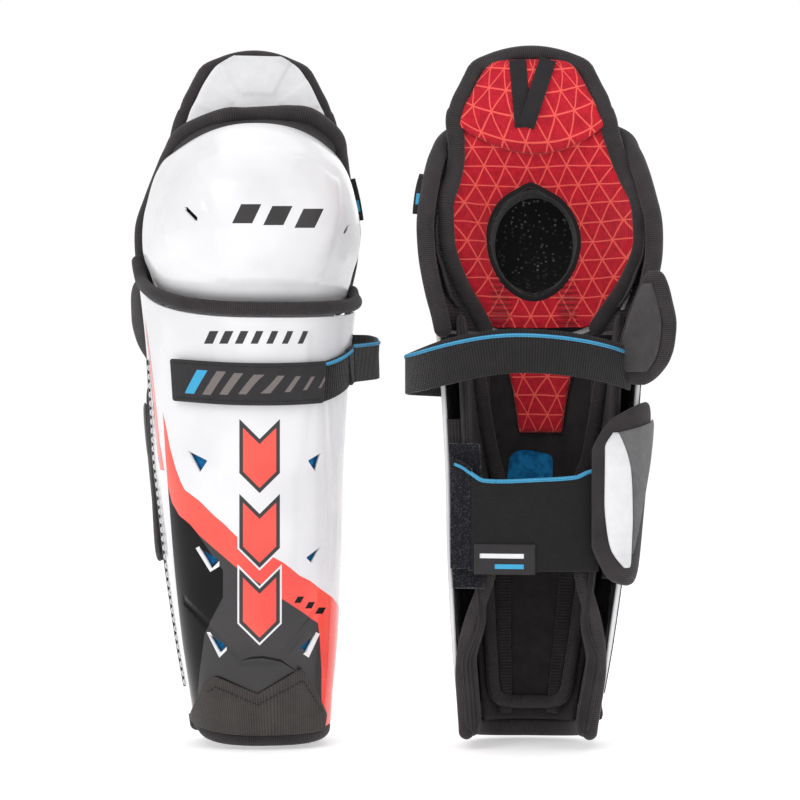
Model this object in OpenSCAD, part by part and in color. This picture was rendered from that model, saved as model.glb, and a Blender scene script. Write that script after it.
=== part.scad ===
// A pair of ice hockey shin guards standing side by side: guard "a" faces the viewer and guard "b" shows its back.
// Each guard is drawn in its own frame: front towards -Y, inner side of the leg towards +X, floor at Z = 0.

/* [Guard] */
// Height of the kneecap's centre above the floor
knee_z = 280; // [278:1:282]
// Added to the shin shell's half width all the way up
shell_widen = 0; // [-0.5:0.1:0.5]
// How far the foot end leans towards the inner side
foot_lean = 7; // [5:0.5:8]
// How far the thigh flap sits towards the inner side
flap_shift = 3; // [2:0.5:4]
// Thickness of the hard shin shell
shell_t = 2.6; // [2:0.1:3]
// Thickness of the hard knee cap
cap_t = 2.6; // [2:0.1:3]

/* [Straps] */
// Height of the woven upper strap
upper_strap_h = 24; // [21:1:25]
// Thickness of the woven upper strap
upper_strap_t = 2; // [1.5:0.1:2.2]
// Bottom edge of the elastic lower strap above the floor
lower_strap_z = 97; // [94:1:100]
// Height of the elastic lower strap
lower_strap_h = 48; // [42:1:50]

/* [Placing] */
// Where guard a stands, from the origin
a_x = -79.8; // [-86:0.1:-73]
a_y = 12.7; // [7:0.1:18]
// How far guard a is turned about its own upright axis
a_turn = 11; // [8:1:14]
// Where guard b stands, from the origin
b_x = 80.2; // [75:0.1:87]
b_y = -7.5; // [-13:0.1:-2]
// How far guard b is turned about its own upright axis
b_turn = 177; // [174:1:180]
// Angle at which guard a's knee wing rests, out from straight back
a_wing_flare = 11; // [9:1:13]
// Angle at which guard b's knee wing rests, out from straight back
b_wing_flare = 35; // [33:1:37]

/* [Hidden] */
PARTS = ["shin_shell", "shell_foam", "collar_roll", "toe_cover", "bottom_roll", "side_liner_inner",
    "side_liner_outer", "lower_liner", "foam_ribs", "liner_tail", "loop_patch", "upper_strap", "knee_cap",
    "knee_pad", "knee_rim", "knee_mesh", "knee_liner", "liner_binding", "flap_face", "brow_cushion",
    "flap_binding", "v_loop", "knee_wing_pad", "knee_wing_insert", "calf_wing_pad", "calf_wing_face",
    "strap_tab", "strap_patch", "lower_strap", "hook_tab"];
GUARDS = ["a", "b"];
NODES = [for (g = GUARDS) for (p = PARTS) str(g, "_", p)];
node = "all";

bend = 0.75;          // share of the shell's half width that is the curved front; the rest is the straight side
squareness = 0.87;    // 1 is an ellipse, less is squarer
lean_top = 155;       // above this height the guard doesn't lean
shell_z = 9;          // bottom edge of the hard shell
collar_z = 232;       // top edge of the hard shell at its front
collar_rise = [29, 12];  // how much higher that edge is at the outer and inner back corners
flap_seam_z = 333;    // the seam that the thigh flap folds on, at its middle
flap_top_z = 381;
calf_wing_z = [85, 190];
leg_gap = 0.9;        // clearance between nested layers

// ---- points on the surfaces -------------------------------------------------------------------

function lean(z) = foot_lean * max(0, 1 - z / lean_top);
function half_w(z) = shell_widen + lookup(z, [[0, 36.5], [25, 39.3], [52, 42.8], [80, 45.7], [107, 48],
    [135, 49.8], [160, 51.5], [190, 53.3], [220, 56], [250, 59.5], [262, 61]]);
function side_y(z) = -9 + 0.024 * z;
function front_y(z) = -41 - 0.06 * z;
function back_y(z) = lookup(z, [[0, 14], [150, 20.5], [190, 18], [215, 11], [262, 8]]);

// A horizontal U: s runs from -1 at the outer back edge, through 0 at the front, to 1 at the inner back edge.
function u_curve(s, w, front, side, back) =
    let (turn = 90 * min(1, abs(s) / bend), run = max(0, (abs(s) - bend) / (1 - bend)))
    [sign(s) * w * pow(sin(turn), squareness),
     side - (side - front) * pow(cos(turn), squareness) + run * (back - side)];

// A point on the shin shell's outer face, moved inwards by inset.
function shin(s, z, inset) =
    let (p = u_curve(s, half_w(z) - inset, front_y(z) + inset, side_y(z), back_y(z)))
    [p[0] + lean(z), p[1], z];

function collar_edge(s) = collar_z + collar_rise[s < 0 ? 0 : 1] * pow(abs(s), 2.2);

// The knee cap is a loft of U curves. Each station is [height at the middle, value].
cap_half_w = [[222, 47], [232, 49], [242, 51.5], [248, 53], [256, 55.5], [268, 59.7], [282, 61], [300, 60],
    [315, 57.5], [327, 54], [335, 50], [339, 47]];
cap_front = [[222, -43], [232, -46], [240, -49.5], [246, -56], [254, -65], [268, -74], [282, -77], [300, -75],
    [315, -67], [327, -55], [335, -44], [339, -36]];
cap_side = [[222, -6], [242, -6], [268, -4], [300, -4], [315, -5], [327, -7], [335, -10], [339, -13]];
cap_drop = [[222, -16], [232, -10], [242, -4], [254, 0], [282, 0], [300, 2], [315, 6], [327, 11], [335, 15],
    [339, 18]];

function cap_point(s, z, w, front, side, back) =
    let (p = u_curve(s, w, front, side, back))
    [p[0], p[1], z - lookup(z, cap_drop) * pow(sin(90 * min(1, abs(s) / bend)), 2)];

function cap(s, z, inset) =
    let (side = lookup(z, cap_side))
    cap_point(s * bend, z, lookup(z, cap_half_w) - inset, lookup(z, cap_front) + inset, side, side);

// The knee pad lies under the cap and carries on behind the cap's side edges.
pad_back = [[224, -2], [236, 4], [250, 11], [284, 10.5], [298, 6], [312, -5.4], [327, -7.1], [336, -11]];

function pad(s, z, inset_front, inset_side, inset_back) =
    let (side = lookup(z, cap_side),
         inset = lookup(abs(s), [[0, inset_front], [0.55, inset_side], [0.75, inset_side], [1, inset_back]]))
    cap_point(s, z, lookup(z, cap_half_w) - inset, lookup(z, cap_front) + inset, side, lookup(z, pad_back));

// The liner's leg side is a hollow that deepens down from the flap to the knee.
leg_deep = [[222, -30], [250, -34], [280, -34], [300, -28], [320, -16], [335, -6], [350, 0], [387, 5]];
leg_curl = [[222, 55], [290, 60], [320, 32], [335, 16], [350, 10], [387, 6]];
liner_half_w = [[222, 33], [228, 35], [240, 41.3], [246, 44.8], [255, 49.5], [263, 52], [275, 55], [287, 55],
    [297, 54], [307, 50.5], [315, 48.5], [323, 47], [330, 46.5], [341, 46], [346.6, 44.3], [352, 42.5], [357.6, 39.5],
    [363, 36.8], [368.5, 33.6], [374, 29.5], [378, 22], [380.5, 15], [383, 6]];

function shift(z) = flap_shift * lookup(z, [[275, 0], [330, 1]]);
function leg_y(x, z) = lookup(z, leg_deep) + lookup(z, leg_curl) * pow(abs(x) / 60, 2.4);
function leg_slope(x, z) = (leg_y(abs(x) + 0.5, z) - leg_y(max(0, abs(x) - 0.5), z)) * sign(x);
// A point t millimetres in front of the liner's leg side.
function liner(x, z, t) =
    let (k = leg_slope(x, z), n = sqrt(1 + k * k))
    [x + shift(z) + t * k / n, leg_y(x, z) - t / n, z];

function seam_z(x) = flap_seam_z + 9 * pow(abs(x) / 46, 2);

// ---- solids from point grids ------------------------------------------------------------------

function flat_list(rows) = [for (row = rows) each row];
function quads(q) = [for (f = q) each [[f[0], f[1], f[2]], [f[0], f[2], f[3]]]];

// A solid between two grids of points: rows run upwards and columns run from left to right, seen from outside.
module slab(outer, inner) {
    n = len(outer);
    m = len(outer[0]);
    o = n * m;
    faces = concat(
        [for (i = [0:n - 2], j = [0:m - 2]) [i * m + j, (i + 1) * m + j, (i + 1) * m + j + 1, i * m + j + 1]],
        [for (i = [0:n - 2], j = [0:m - 2])
            [o + i * m + j, o + i * m + j + 1, o + (i + 1) * m + j + 1, o + (i + 1) * m + j]],
        [for (j = [0:m - 2]) [j, j + 1, o + j + 1, o + j]],
        [for (j = [0:m - 2]) [(n - 1) * m + j + 1, (n - 1) * m + j, o + (n - 1) * m + j, o + (n - 1) * m + j + 1]],
        [for (i = [0:n - 2]) [(i + 1) * m, i * m, o + i * m, o + (i + 1) * m]],
        [for (i = [0:n - 2])
            [i * m + m - 1, (i + 1) * m + m - 1, o + (i + 1) * m + m - 1, o + i * m + m - 1]]);
    polyhedron(concat(flat_list(outer), flat_list(inner)), quads(faces), convexity = 6);
}

// A ring-shaped solid between two grids: rows run outwards from the hole and columns run round it.
module ring_slab(outer, inner) {
    n = len(outer);
    m = len(outer[0]);
    o = n * m;
    faces = concat(
        [for (i = [0:n - 2], j = [0:m - 1])
            [i * m + j, (i + 1) * m + j, (i + 1) * m + (j + 1) % m, i * m + (j + 1) % m]],
        [for (i = [0:n - 2], j = [0:m - 1])
            [o + i * m + j, o + i * m + (j + 1) % m, o + (i + 1) * m + (j + 1) % m, o + (i + 1) * m + j]],
        [for (j = [0:m - 1]) [j, (j + 1) % m, o + (j + 1) % m, o + j]],
        [for (j = [0:m - 1])
            [(n - 1) * m + (j + 1) % m, (n - 1) * m + j, o + (n - 1) * m + j, o + (n - 1) * m + (j + 1) % m]]);
    polyhedron(concat(flat_list(outer), flat_list(inner)), quads(faces), convexity = 6);
}

function unit(v) = v / norm(v);

// A padded roll: an ellipse of half sizes across and along swept down a path, where along lies near the direction up.
module roll(path, across, along, up, sides = 8) {
    n = len(path);
    rings = [for (i = [0:n - 1])
        let (t = unit(path[min(i + 1, n - 1)] - path[max(i - 1, 0)]), side = unit(cross(t, up)), rise = cross(side, t))
        [for (k = [0:sides - 1])
            path[i] + across * cos(360 * k / sides) * side + along * sin(360 * k / sides) * rise]];
    faces = concat(
        quads([for (i = [0:n - 2], k = [0:sides - 1])
            [i * sides + k, i * sides + (k + 1) % sides, (i + 1) * sides + (k + 1) % sides, (i + 1) * sides + k]]),
        [[for (k = [0:sides - 1]) sides - 1 - k]],
        [[for (k = [0:sides - 1]) (n - 1) * sides + k]]);
    polyhedron(flat_list(rings), faces, convexity = 6);
}

function steps(a, b, n) = [for (i = [0:n]) a + (b - a) * i / n];

// A strip that follows the shin shell between two heights and two places along its U.
module shin_strip(s0, s1, z0, z1, inset0, inset1, cols, rows = 1) {
    slab([for (z = steps(z0, z1, rows)) [for (s = steps(s0, s1, cols)) shin(s, z, inset0)]],
         [for (z = steps(z0, z1, rows)) [for (s = steps(s0, s1, cols)) shin(s, z, inset1)]]);
}

// ---- hard shell and its trim ------------------------------------------------------------------

vents = [[31, 153], [27, 102], [23, 56]];    // distance from the middle, height
vent_r = 5.5;

module vent(side, place) {
    translate([side * place[0] + lean(place[1]), 0, place[1]])
        rotate([90, 0, 0])
            linear_extrude(90)
                polygon([for (k = [0:2]) vent_r * [cos(side * 30 + 120 * k), sin(side * 30 + 120 * k)]]);
}

module shin_shell() {
    rows = steps(0, 1, 6);
    cols = steps(-1, 1, 14);
    function height(s, v) = shell_z + v * (collar_edge(s) - shell_z);
    color("white") difference() {
        slab([for (v = rows) [for (s = cols) shin(s, height(s, v), 0)]],
             [for (v = rows) [for (s = cols) shin(s, height(s, v), shell_t)]]);
        for (side = [-1, 1], place = vents) vent(side, place);
    }
}

module shell_foam() {
    color("steelblue") shin_strip(-0.7, 0.7, 20, 216, shell_t + leg_gap, 8.2, 10, 3);
}

module collar_roll() {
    path = [for (s = steps(-1, 1, 18)) shin(s, collar_edge(s) + 4.7 + 1.2 * pow(abs(s), 2), 0.3)];
    color("dimgray") roll(path, 3.2, 3.2, [0, 0, 1]);
}

module toe_cover() {
    // the top edge is a shallow V between two peaks
    function top(s) = 27 + 11 * min(1, abs(s) / 0.36) - 22 * max(0, abs(s) - 0.36);
    cols = steps(-0.78, 0.78, 12);
    rows = steps(0, 1, 2);
    color("dimgray")
        slab([for (v = rows) [for (s = cols) shin(s, shell_z + v * (top(s) - shell_z), -2.6)]],
             [for (v = rows) [for (s = cols) shin(s, shell_z + v * (top(s) - shell_z), -leg_gap)]]);
}

module bottom_roll() {
    rim = steps(-1, 1, 32);
    function flat_point(s, inset) = let (p = shin(s, 5, inset)) [p[0], p[1]];
    color("dimgray")
        linear_extrude(shell_z - 0.4)
            polygon(concat([for (s = rim) flat_point(s, 1)], [for (i = [32:-1:0]) flat_point(rim[i], 11)]));
}

// ---- padding inside the shell -----------------------------------------------------------------

// Where the side padding starts, along the U: near the front above, only at the back edge below.
side_start = [[10, 0.86], [45, 0.84], [70, 0.62], [92, 0.5], [139, 0.46], [152, 0.36], [214, 0.32]];
side_layer = [[10, 3.6], [45, 3.6], [70, 14], [139, 14], [152, 9.2], [214, 9.2]];
side_thick = [[10, 9], [45, 9], [70, 5], [214, 6]];
side_back = 8;

module side_liner(side) {
    heights = [9.5, 45, 70, 92, 139, 152, 214];
    function edge(s, z, inset) =
        let (p = shin(side * s, z, inset)) [p[0], p[1] + side_back * max(0, s - 0.8) / 0.2, z];
    function across(z) = steps(lookup(z, side_start), 1, 4);
    function face(extra) =
        [for (z = heights) [for (s = side > 0 ? across(z) : [for (i = [4:-1:0]) across(z)[i]])
            edge(s, z, lookup(z, side_layer) + extra * lookup(z, side_thick))]];
    color("dimgray") slab(face(0), face(1));
}

module lower_liner() {
    color([0.2, 0.2, 0.2]) shin_strip(-0.56, 0.56, 11, 138, 9.1, 13, 8, 3);
}

module foam_ribs() {
    color("dimgray") for (side = [-1, 1])
        shin_strip(side > 0 ? 0.19 : -0.37, side > 0 ? 0.37 : -0.19, 15, 134, 13.9, 17.9, 2, 3);
}

module liner_tail() {
    widths = [[170, 0.12], [200, 0.17], [216, 0.24]];
    function face(inset) = [for (z = [170, 185, 200, 216])
        [for (t = steps(-1, 1, 4)) shin(t * lookup(z, widths), z, inset)]];
    color("crimson") slab(face(9.2), face(13));
}

module loop_patch() {
    function face(lift) = [for (z = [87, 124, 150, 165])
        [for (t = steps(1, 0, 2)) let (p = shin(1, z, 3.6)) [p[0] - 17 * t + 1, back_y(z) + side_back + lift, z]]];
    color("black") slab(face(0.6), face(1.6));
}

// ---- upper strap ------------------------------------------------------------------------------

tab_end = 0.53;       // where the strap leaves the front of the shell, along the U
tab_z = 200;

module upper_strap(rise) {
    // seen from above: from the front of the inner side, round behind the leg, to the outer side padding
    start = shin(tab_end + 0.035, tab_z, -1.6);
    function plan(t, out) = [10.3 + (61.1 + out) * cos(t), 8 + (50 + out) * sin(t)];
    function mid_z(t) = tab_z + lookup(t, [[-40, 0], [20, rise[0]], [90, rise[1]], [180, rise[2]]]);
    function curve(out) = concat([[start[0] + out * 0.8, start[1] - out * 0.6, tab_z]],
        [for (t = steps(-16, 157, 13)) let (p = plan(t, out)) [p[0], p[1], mid_z(t)]]);
    function band(out) = [for (h = [-0.5, 0.5]) [for (p = curve(out)) [p[0], p[1], p[2] + h * upper_strap_h]]];
    color("black") slab(band(upper_strap_t), band(0));
}

module strap_tab() {
    low = tab_z - upper_strap_h / 2;
    color("black") shin_strip(-0.44, tab_end, low, low + upper_strap_h, -leg_gap - upper_strap_t, -leg_gap, 12);
}

module strap_patch() {
    low = tab_z - upper_strap_h / 2 - 0.5;
    color("black") shin_strip(-0.47, 0.27, low, low + upper_strap_h + 1, -4.9, -3.6, 10);
}

// ---- lower strap ------------------------------------------------------------------------------

lower_fold_x = -24.5; // where the lower strap bends as it opens, at the calf wing's free edge

function strap_y(x) = 40.3 - 0.0043 * x * x;

module band_across(x0, x1, z0, z1, t, cols, lift = 0) {
    function face(out) = [for (z = [z0, z1]) [for (x = steps(x1, x0, cols)) [x, strap_y(x) + lift + out, z]]];
    slab(face(t), face(0));
}

module lower_strap() {
    color([0.12, 0.12, 0.12])
        band_across(lower_fold_x + 0.8, 38, lower_strap_z, lower_strap_z + lower_strap_h, 1.8, 8);
}

module hook_tab() {
    color("black") band_across(38.5, 47, lower_strap_z + 2, lower_strap_z + lower_strap_h + 4, 1.6, 2);
}

// ---- knee -------------------------------------------------------------------------------------

module knee_cap() {
    heights = [222, 232, 240, 246, 254, 268, 282, 300, 315, 327, 335, 339];
    cols = steps(-1, 1, 14);
    color("white") difference() {
        slab([for (z = heights) [for (s = cols) cap(s, z, 0)]],
             [for (z = heights) [for (s = cols) cap(s, z, cap_t)]]);
        for (side = [-1, 1])
            translate([side * 44, -60, knee_z - 4]) rotate([0, side * 35, 0]) cube([7, 40, 1.6], center = true);
    }
}

module knee_pad() {
    heights = [224, 232, 240, 246, 254, 268, 282, 300, 315, 327, 335];
    cols = concat([-1, -0.88], steps(-bend, bend, 14), [0.88, 1]);
    gap = cap_t + leg_gap;
    deep = [[224, 6.5], [247, 7], [262, 12]];
    color([0.2, 0.2, 0.2])
        slab([for (z = heights) [for (s = cols) pad(s, z, gap, gap, 2.8)]],
             [for (z = heights) [for (s = cols) pad(s, z, lookup(z, deep), 4.8, 4.4)]]);
}

// The knee pad's rolled edge: up one side, over the top and down the other side.
module knee_rim() {
    rim_half_w = [[236, 51], [245, 54.5], [258, 58], [270, 60], [284, 60.5], [297, 58.5], [312, 55.5], [323, 52.3],
        [333, 46.5], [342, 36]];
    heights = [236, 245, 256, 268, 284, 298, 312, 323, 333, 340];
    rim_y = [[236, 20], [284, 17.5], [298, 13], [312, 3.8], [323, -5.2], [333, -16], [342, -22]];
    function point(side, z) = [side * lookup(z, rim_half_w) + shift(z), lookup(z, rim_y), z];
    path = concat([for (z = heights) point(-1, z)],
        [for (x = steps(-22, 22, 3)) [x + flap_shift, -25, 345.5]],
        [for (i = [len(heights) - 1:-1:0]) point(1, heights[i])]);
    color("dimgray") roll(path, 4.6, 5.2, [0, 1, 0]);
}

module knee_mesh() {
    heights = [248, 258, 270, 282, 296, 308];
    function face(inset) = [for (z = heights) [for (s = steps(-0.42, 0.42, 6)) cap(s, z, inset)]];
    color([0.1, 0.1, 0.1]) slab(face(13), face(15));
}

hole_r = [24.5, 30];     // half width and half height of the kneecap's hole in the liner
binding_r = 4;

module knee_liner() {
    sides = [231, 241, 252, 264, 276, 290, 304, 316, 327];
    function half(z) = lookup(z, liner_half_w) - 2 * binding_r - 0.6;
    tops = steps(half(335), -half(335), 7);
    bottoms = steps(-half(230), half(230), 4);
    // once round the liner's outline, from its lowest corner on the inner side
    outline = concat([for (z = sides) [half(z), z]],
        [for (x = tops) [x, seam_z(x) - 2]],
        [for (i = [len(sides) - 1:-1:0]) [-half(sides[i]), sides[i]]],
        [for (i = [1:3]) [bottoms[i], 229]]);
    middle = [3, knee_z - 4];
    function hole(p) =
        let (d = (p - middle), a = atan2(d[1] / hole_r[1], d[0] / hole_r[0]))
        middle + [hole_r[0] * cos(a), hole_r[1] * sin(a)];
    function face(deep) = [for (v = [0, 0.5, 1])
        [for (q = outline)
            let (p = (1 - v) * hole(q) + v * q, t = deep * lookup(abs(p[0]), [[0, 1], [30, 1], [50, 0.5]]))
            liner(p[0], p[1], t)]];
    color("crimson") ring_slab(face(0), face(7));
}

function binding_point(side, z) =
    let (x = side * (lookup(z, liner_half_w) - binding_r)) [x + shift(z), leg_y(x, z) - 1.5, z];

module liner_binding() {
    color("dimgray") for (side = [-1, 1])
        roll([for (z = [228, 238, 249, 260, 271, 282, 296, 308, 320, 330]) binding_point(side, z)],
            binding_r, binding_r, [0, 1, 0]);
}

// ---- thigh flap -------------------------------------------------------------------------------

flap_rows = [0, 0.3, 0.6, 0.85, 1];

// Rows rise from the fold seam to the flap's rounded top; margin is how far they stay inside its edge.
function flap_face_points(margin, deep, lift) = [for (v = flap_rows)
    [for (t = steps(-1, 1, 8))
        let (z = flap_seam_z + 8 + v * (flap_top_z - flap_seam_z - 8 - margin),
             x = t * max(4, lookup(min(383, z + margin * 0.5), liner_half_w) - margin))
        [x + shift(z), leg_y(x, z) - deep, z - (1 - v) * (8 - lift - seam_z(x) + flap_seam_z)]]];

module flap_face() {
    color("whitesmoke") slab(flap_face_points(9.2, 11, 4), flap_face_points(9.2, 8.5, 4));
}

module brow_cushion() {
    color("crimson") slab(flap_face_points(11, 7.8, 1), flap_face_points(11, -2, 1));
}

module flap_binding() {
    up = [342, 350, 358, 365, 370];
    function side_point(side, z) =
        let (x = side * (lookup(z, liner_half_w) - binding_r)) [x + shift(z), leg_y(x, z) - 3, z];
    top = [for (x = [-21, -12, -4, 4, 12, 21]) [x + flap_shift, leg_y(x, 377) - 3, 377.3 - 0.0095 * x * x]];
    color("dimgray")
        roll(concat([for (z = up) side_point(-1, z)], top, [for (i = [len(up) - 1:-1:0]) side_point(1, up[i])]),
            binding_r, 5.5, [0, 1, 0]);
}

// An elastic tape folded into a V, with both ends sewn in at the top.
module v_loop() {
    function arm(x0, x1, y) = [for (z = [341, 351, 371])
        [for (e = [4.2, -4.2])
            [x1 + (x0 - x1) * (z - 341) / 30 + e + flap_shift,
             leg_y(0, z) + y + lookup(z, [[341, 2.2], [351, 0.6], [371, 0]]), z]]];
    module tape(x0, x1, lift) {
        slab(arm(x0, x1, lift + 1), arm(x0, x1, lift));
    }
    color([0.15, 0.15, 0.15]) {
        tape(12, 1, 2.9);
        tape(-10, 0, 4.4);
    }
}

// ---- wings ------------------------------------------------------------------------------------

knee_wing_z = [196, 257];
knee_wing_len = 37;
knee_wing_t = 8;
knee_wing_root = [-55, 29];

// A plate behind the knee that leaves the guard's back edge at an angle, with a rounded free edge.
function knee_wing_face(flare, out, margin) =
    let (mid = (knee_wing_z[0] + knee_wing_z[1]) / 2,
         tall = (knee_wing_z[1] - knee_wing_z[0]) / 2,
         a = 90 + flare)
    [for (v = [-1, -0.8, -0.4, 0, 0.4, 0.8, 1])
        let (z = mid + v * (tall - margin), far = knee_wing_len * pow(1 - pow(abs(v) * 0.93, 3), 0.5) - margin)
        [for (d = steps(far, margin, 4))
            let (c = out - 0.004 * d * (knee_wing_len - d))
            [knee_wing_root[0] + d * cos(a) - c * cos(a + 90),
             knee_wing_root[1] + d * sin(a) - c * sin(a + 90), z]]];

module knee_wing_pad(flare) {
    color("dimgray") slab(knee_wing_face(flare, 0, 0), knee_wing_face(flare, knee_wing_t, 0));
}

module knee_wing_insert(flare) {
    color("gray")
        slab(knee_wing_face(flare, knee_wing_t + 0.5, 8), knee_wing_face(flare, knee_wing_t + 2.3, 8));
}

// The calf wing curls from the shell's outer back edge round behind the calf.
function calf_wing_face(out, q0, q1, margin, cols) =
    let (rows = 6)
    [for (v = steps(0, 1, rows))
        [for (q = steps(q1, q0, cols))
            let (low = calf_wing_z[0] + margin + 12 * q * q + 10 * pow(1 - q, 3),
                 high = calf_wing_z[1] - margin - 19 * q * q - 4 * pow(1 - q, 3),
                 z = low + v * (high - low),
                 t = -8 + 93 * q)
            [(1 - q) * (lean(z) - half_w(z)) - q * 51.5 + 26.8 - (34 + out) * cos(t),
             18 + (28 + out) * sin(t), z]]];

module calf_wing_pad() {
    color("dimgray") slab(calf_wing_face(0, 0.04, 1, 0, 8), calf_wing_face(-6, 0.04, 1, 0, 8));
}

module calf_wing_panel() {
    color("white") slab(calf_wing_face(2.2, 0.16, 0.8, 8, 6), calf_wing_face(0.6, 0.16, 0.8, 8, 6));
}

// ---- the two guards ---------------------------------------------------------------------------

module place(guard) {
    if (guard == "a") translate([a_x, a_y, 0]) rotate([0, 0, a_turn]) children();
    else translate([b_x, b_y, 0]) rotate([0, 0, b_turn]) children();
}

function drawn(guard, part) = node == "all" || node == str(guard, "_", part);

for (g = GUARDS) {
    flare = g == "a" ? a_wing_flare : b_wing_flare;
    rise = g == "a" ? [14, 12, 4] : [3, 14, 1];
    if (drawn(g, "shin_shell")) place(g) shin_shell();
    if (drawn(g, "shell_foam")) place(g) shell_foam();
    if (drawn(g, "collar_roll")) place(g) collar_roll();
    if (drawn(g, "toe_cover")) place(g) toe_cover();
    if (drawn(g, "bottom_roll")) place(g) bottom_roll();
    if (drawn(g, "side_liner_inner")) place(g) side_liner(1);
    if (drawn(g, "side_liner_outer")) place(g) side_liner(-1);
    if (drawn(g, "lower_liner")) place(g) lower_liner();
    if (drawn(g, "foam_ribs")) place(g) foam_ribs();
    if (drawn(g, "liner_tail")) place(g) liner_tail();
    if (drawn(g, "loop_patch")) place(g) loop_patch();
    if (drawn(g, "upper_strap")) place(g) upper_strap(rise);
    if (drawn(g, "knee_cap")) place(g) knee_cap();
    if (drawn(g, "knee_pad")) place(g) knee_pad();
    if (drawn(g, "knee_rim")) place(g) knee_rim();
    if (drawn(g, "knee_mesh")) place(g) knee_mesh();
    if (drawn(g, "knee_liner")) place(g) knee_liner();
    if (drawn(g, "liner_binding")) place(g) liner_binding();
    if (drawn(g, "flap_face")) place(g) flap_face();
    if (drawn(g, "brow_cushion")) place(g) brow_cushion();
    if (drawn(g, "flap_binding")) place(g) flap_binding();
    if (drawn(g, "v_loop")) place(g) v_loop();
    if (drawn(g, "knee_wing_pad")) place(g) knee_wing_pad(flare);
    if (drawn(g, "knee_wing_insert")) place(g) knee_wing_insert(flare);
    if (drawn(g, "calf_wing_pad")) place(g) calf_wing_pad();
    if (drawn(g, "calf_wing_face")) place(g) calf_wing_panel();
    if (drawn(g, "strap_tab")) place(g) strap_tab();
    if (drawn(g, "strap_patch")) place(g) strap_patch();
    if (drawn(g, "lower_strap")) place(g) lower_strap();
    if (drawn(g, "hook_tab")) place(g) hook_tab();
}
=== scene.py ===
"""Looks for a pair of ice hockey shin guards: guard a shows its front, guard b its back."""
import math

import bpy
import numpy as np
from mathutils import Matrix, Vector
from mathutils.geometry import delaunay_2d_cdt


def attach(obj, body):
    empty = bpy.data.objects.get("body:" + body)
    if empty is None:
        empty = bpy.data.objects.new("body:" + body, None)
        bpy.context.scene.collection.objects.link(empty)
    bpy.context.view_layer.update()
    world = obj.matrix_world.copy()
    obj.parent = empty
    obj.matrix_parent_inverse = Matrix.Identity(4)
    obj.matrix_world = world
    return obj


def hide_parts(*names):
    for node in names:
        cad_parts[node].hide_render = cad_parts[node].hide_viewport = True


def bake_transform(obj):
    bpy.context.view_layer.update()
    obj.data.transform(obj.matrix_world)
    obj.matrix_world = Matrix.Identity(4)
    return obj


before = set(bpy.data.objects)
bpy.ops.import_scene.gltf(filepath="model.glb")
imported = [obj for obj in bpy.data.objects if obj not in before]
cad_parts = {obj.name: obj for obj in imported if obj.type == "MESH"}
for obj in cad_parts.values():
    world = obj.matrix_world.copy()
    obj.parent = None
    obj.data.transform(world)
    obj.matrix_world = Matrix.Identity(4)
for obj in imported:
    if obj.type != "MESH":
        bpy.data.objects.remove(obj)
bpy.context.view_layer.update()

# Where each guard stands in part.scad, and what has settled differently on the two, in millimetres and
# degrees. The upper strap: its rise at -40, 20, 90 and 180 degrees round the leg, where it starts and ends,
# and the lift towards its tab. The flap: how far its lower corners drop, its face and the brow stand in, and
# where the knee gussets begin. The wings: the knee wing's flare and lower end, how far up the calf wing
# stands, and how far its free edge is pressed in.
GUARDS = {
    "a": {"at": (-79.8, 12.7), "turn": 11, "rise": (6.0, 14, 12, 4), "strap_from": 208.0, "strap_end": 146,
          "tab_lift": 8.0, "corner_drop": 6.0, "face_in": 3.4, "brow_in": 2.6, "gusset_from": 238,
          "flare": 11, "wing_low": 205.5, "calf_up": 9, "calf_press": 5.0},
    "b": {"at": (80.2, -7.5), "turn": 177, "rise": (0, 3, 14, 1), "strap_from": 200.0, "strap_end": 161,
          "tab_lift": 0.0, "corner_drop": 0, "face_in": 5.2, "brow_in": 0, "gusset_from": 226,
          "flare": 35, "wing_low": 196.2, "calf_up": 0, "calf_press": 0.0},
}
SIDES = ((1, "inner"), (-1, "outer"))
EYE = (3.7, -1600.2, 188.2)     # the camera, in millimetres
LENS = 131.4                    # its focal length, on a 36 mm sensor
VIEW_PLANE = 1600               # how far from the camera the front views are drawn


def turned(points, guard, at=(0, 0)):
    """Points turned as the guard stands, then moved by at."""
    p = np.asarray(points, float)
    angle = math.radians(GUARDS[guard]["turn"])
    c, s = math.cos(angle), math.sin(angle)
    x, y = at
    return np.stack([x + c * p[..., 0] - s * p[..., 1], y + s * p[..., 0] + c * p[..., 1], p[..., 2]], -1)


def placed(points, guard):
    """Points in a guard's own frame, in millimetres, to the row frame, in metres."""
    return turned(points, guard, GUARDS[guard]["at"]) / 1000


def unit(v):
    """The same directions, each of length one."""
    return v / np.maximum(np.linalg.norm(v, axis=1), 1e-9)[:, None]


def lengths(path):
    """How far along a path each of its points is."""
    return np.concatenate([[0], np.cumsum(np.linalg.norm(np.diff(path, axis=0), axis=1))])


# ---- the surfaces of part.scad, with smooth curves through its stations -----------------------------

def table(*pairs):
    """A smooth curve through the pairs that never overshoots them, level beyond its ends."""
    x, y = np.array(pairs, float).T
    h = np.diff(x)
    d = np.diff(y) / h
    m = np.zeros(len(x))
    m[0], m[-1] = d[0], d[-1]
    for i in range(1, len(x) - 1):
        if d[i - 1] * d[i] > 0:
            w1, w2 = 2 * h[i] + h[i - 1], h[i] + 2 * h[i - 1]
            m[i] = (w1 + w2) / (w1 / d[i - 1] + w2 / d[i])

    def at(v):
        v = np.clip(np.asarray(v, float), x[0], x[-1])
        i = np.clip(np.searchsorted(x, v, side="right") - 1, 0, len(h) - 1)
        t = (v - x[i]) / h[i]
        return ((1 + 2 * t) * (1 - t) ** 2 * y[i] + t * (1 - t) ** 2 * h[i] * m[i] + t * t * (3 - 2 * t)
                * y[i + 1] + t * t * (t - 1) * h[i] * m[i + 1])
    return at


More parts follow.
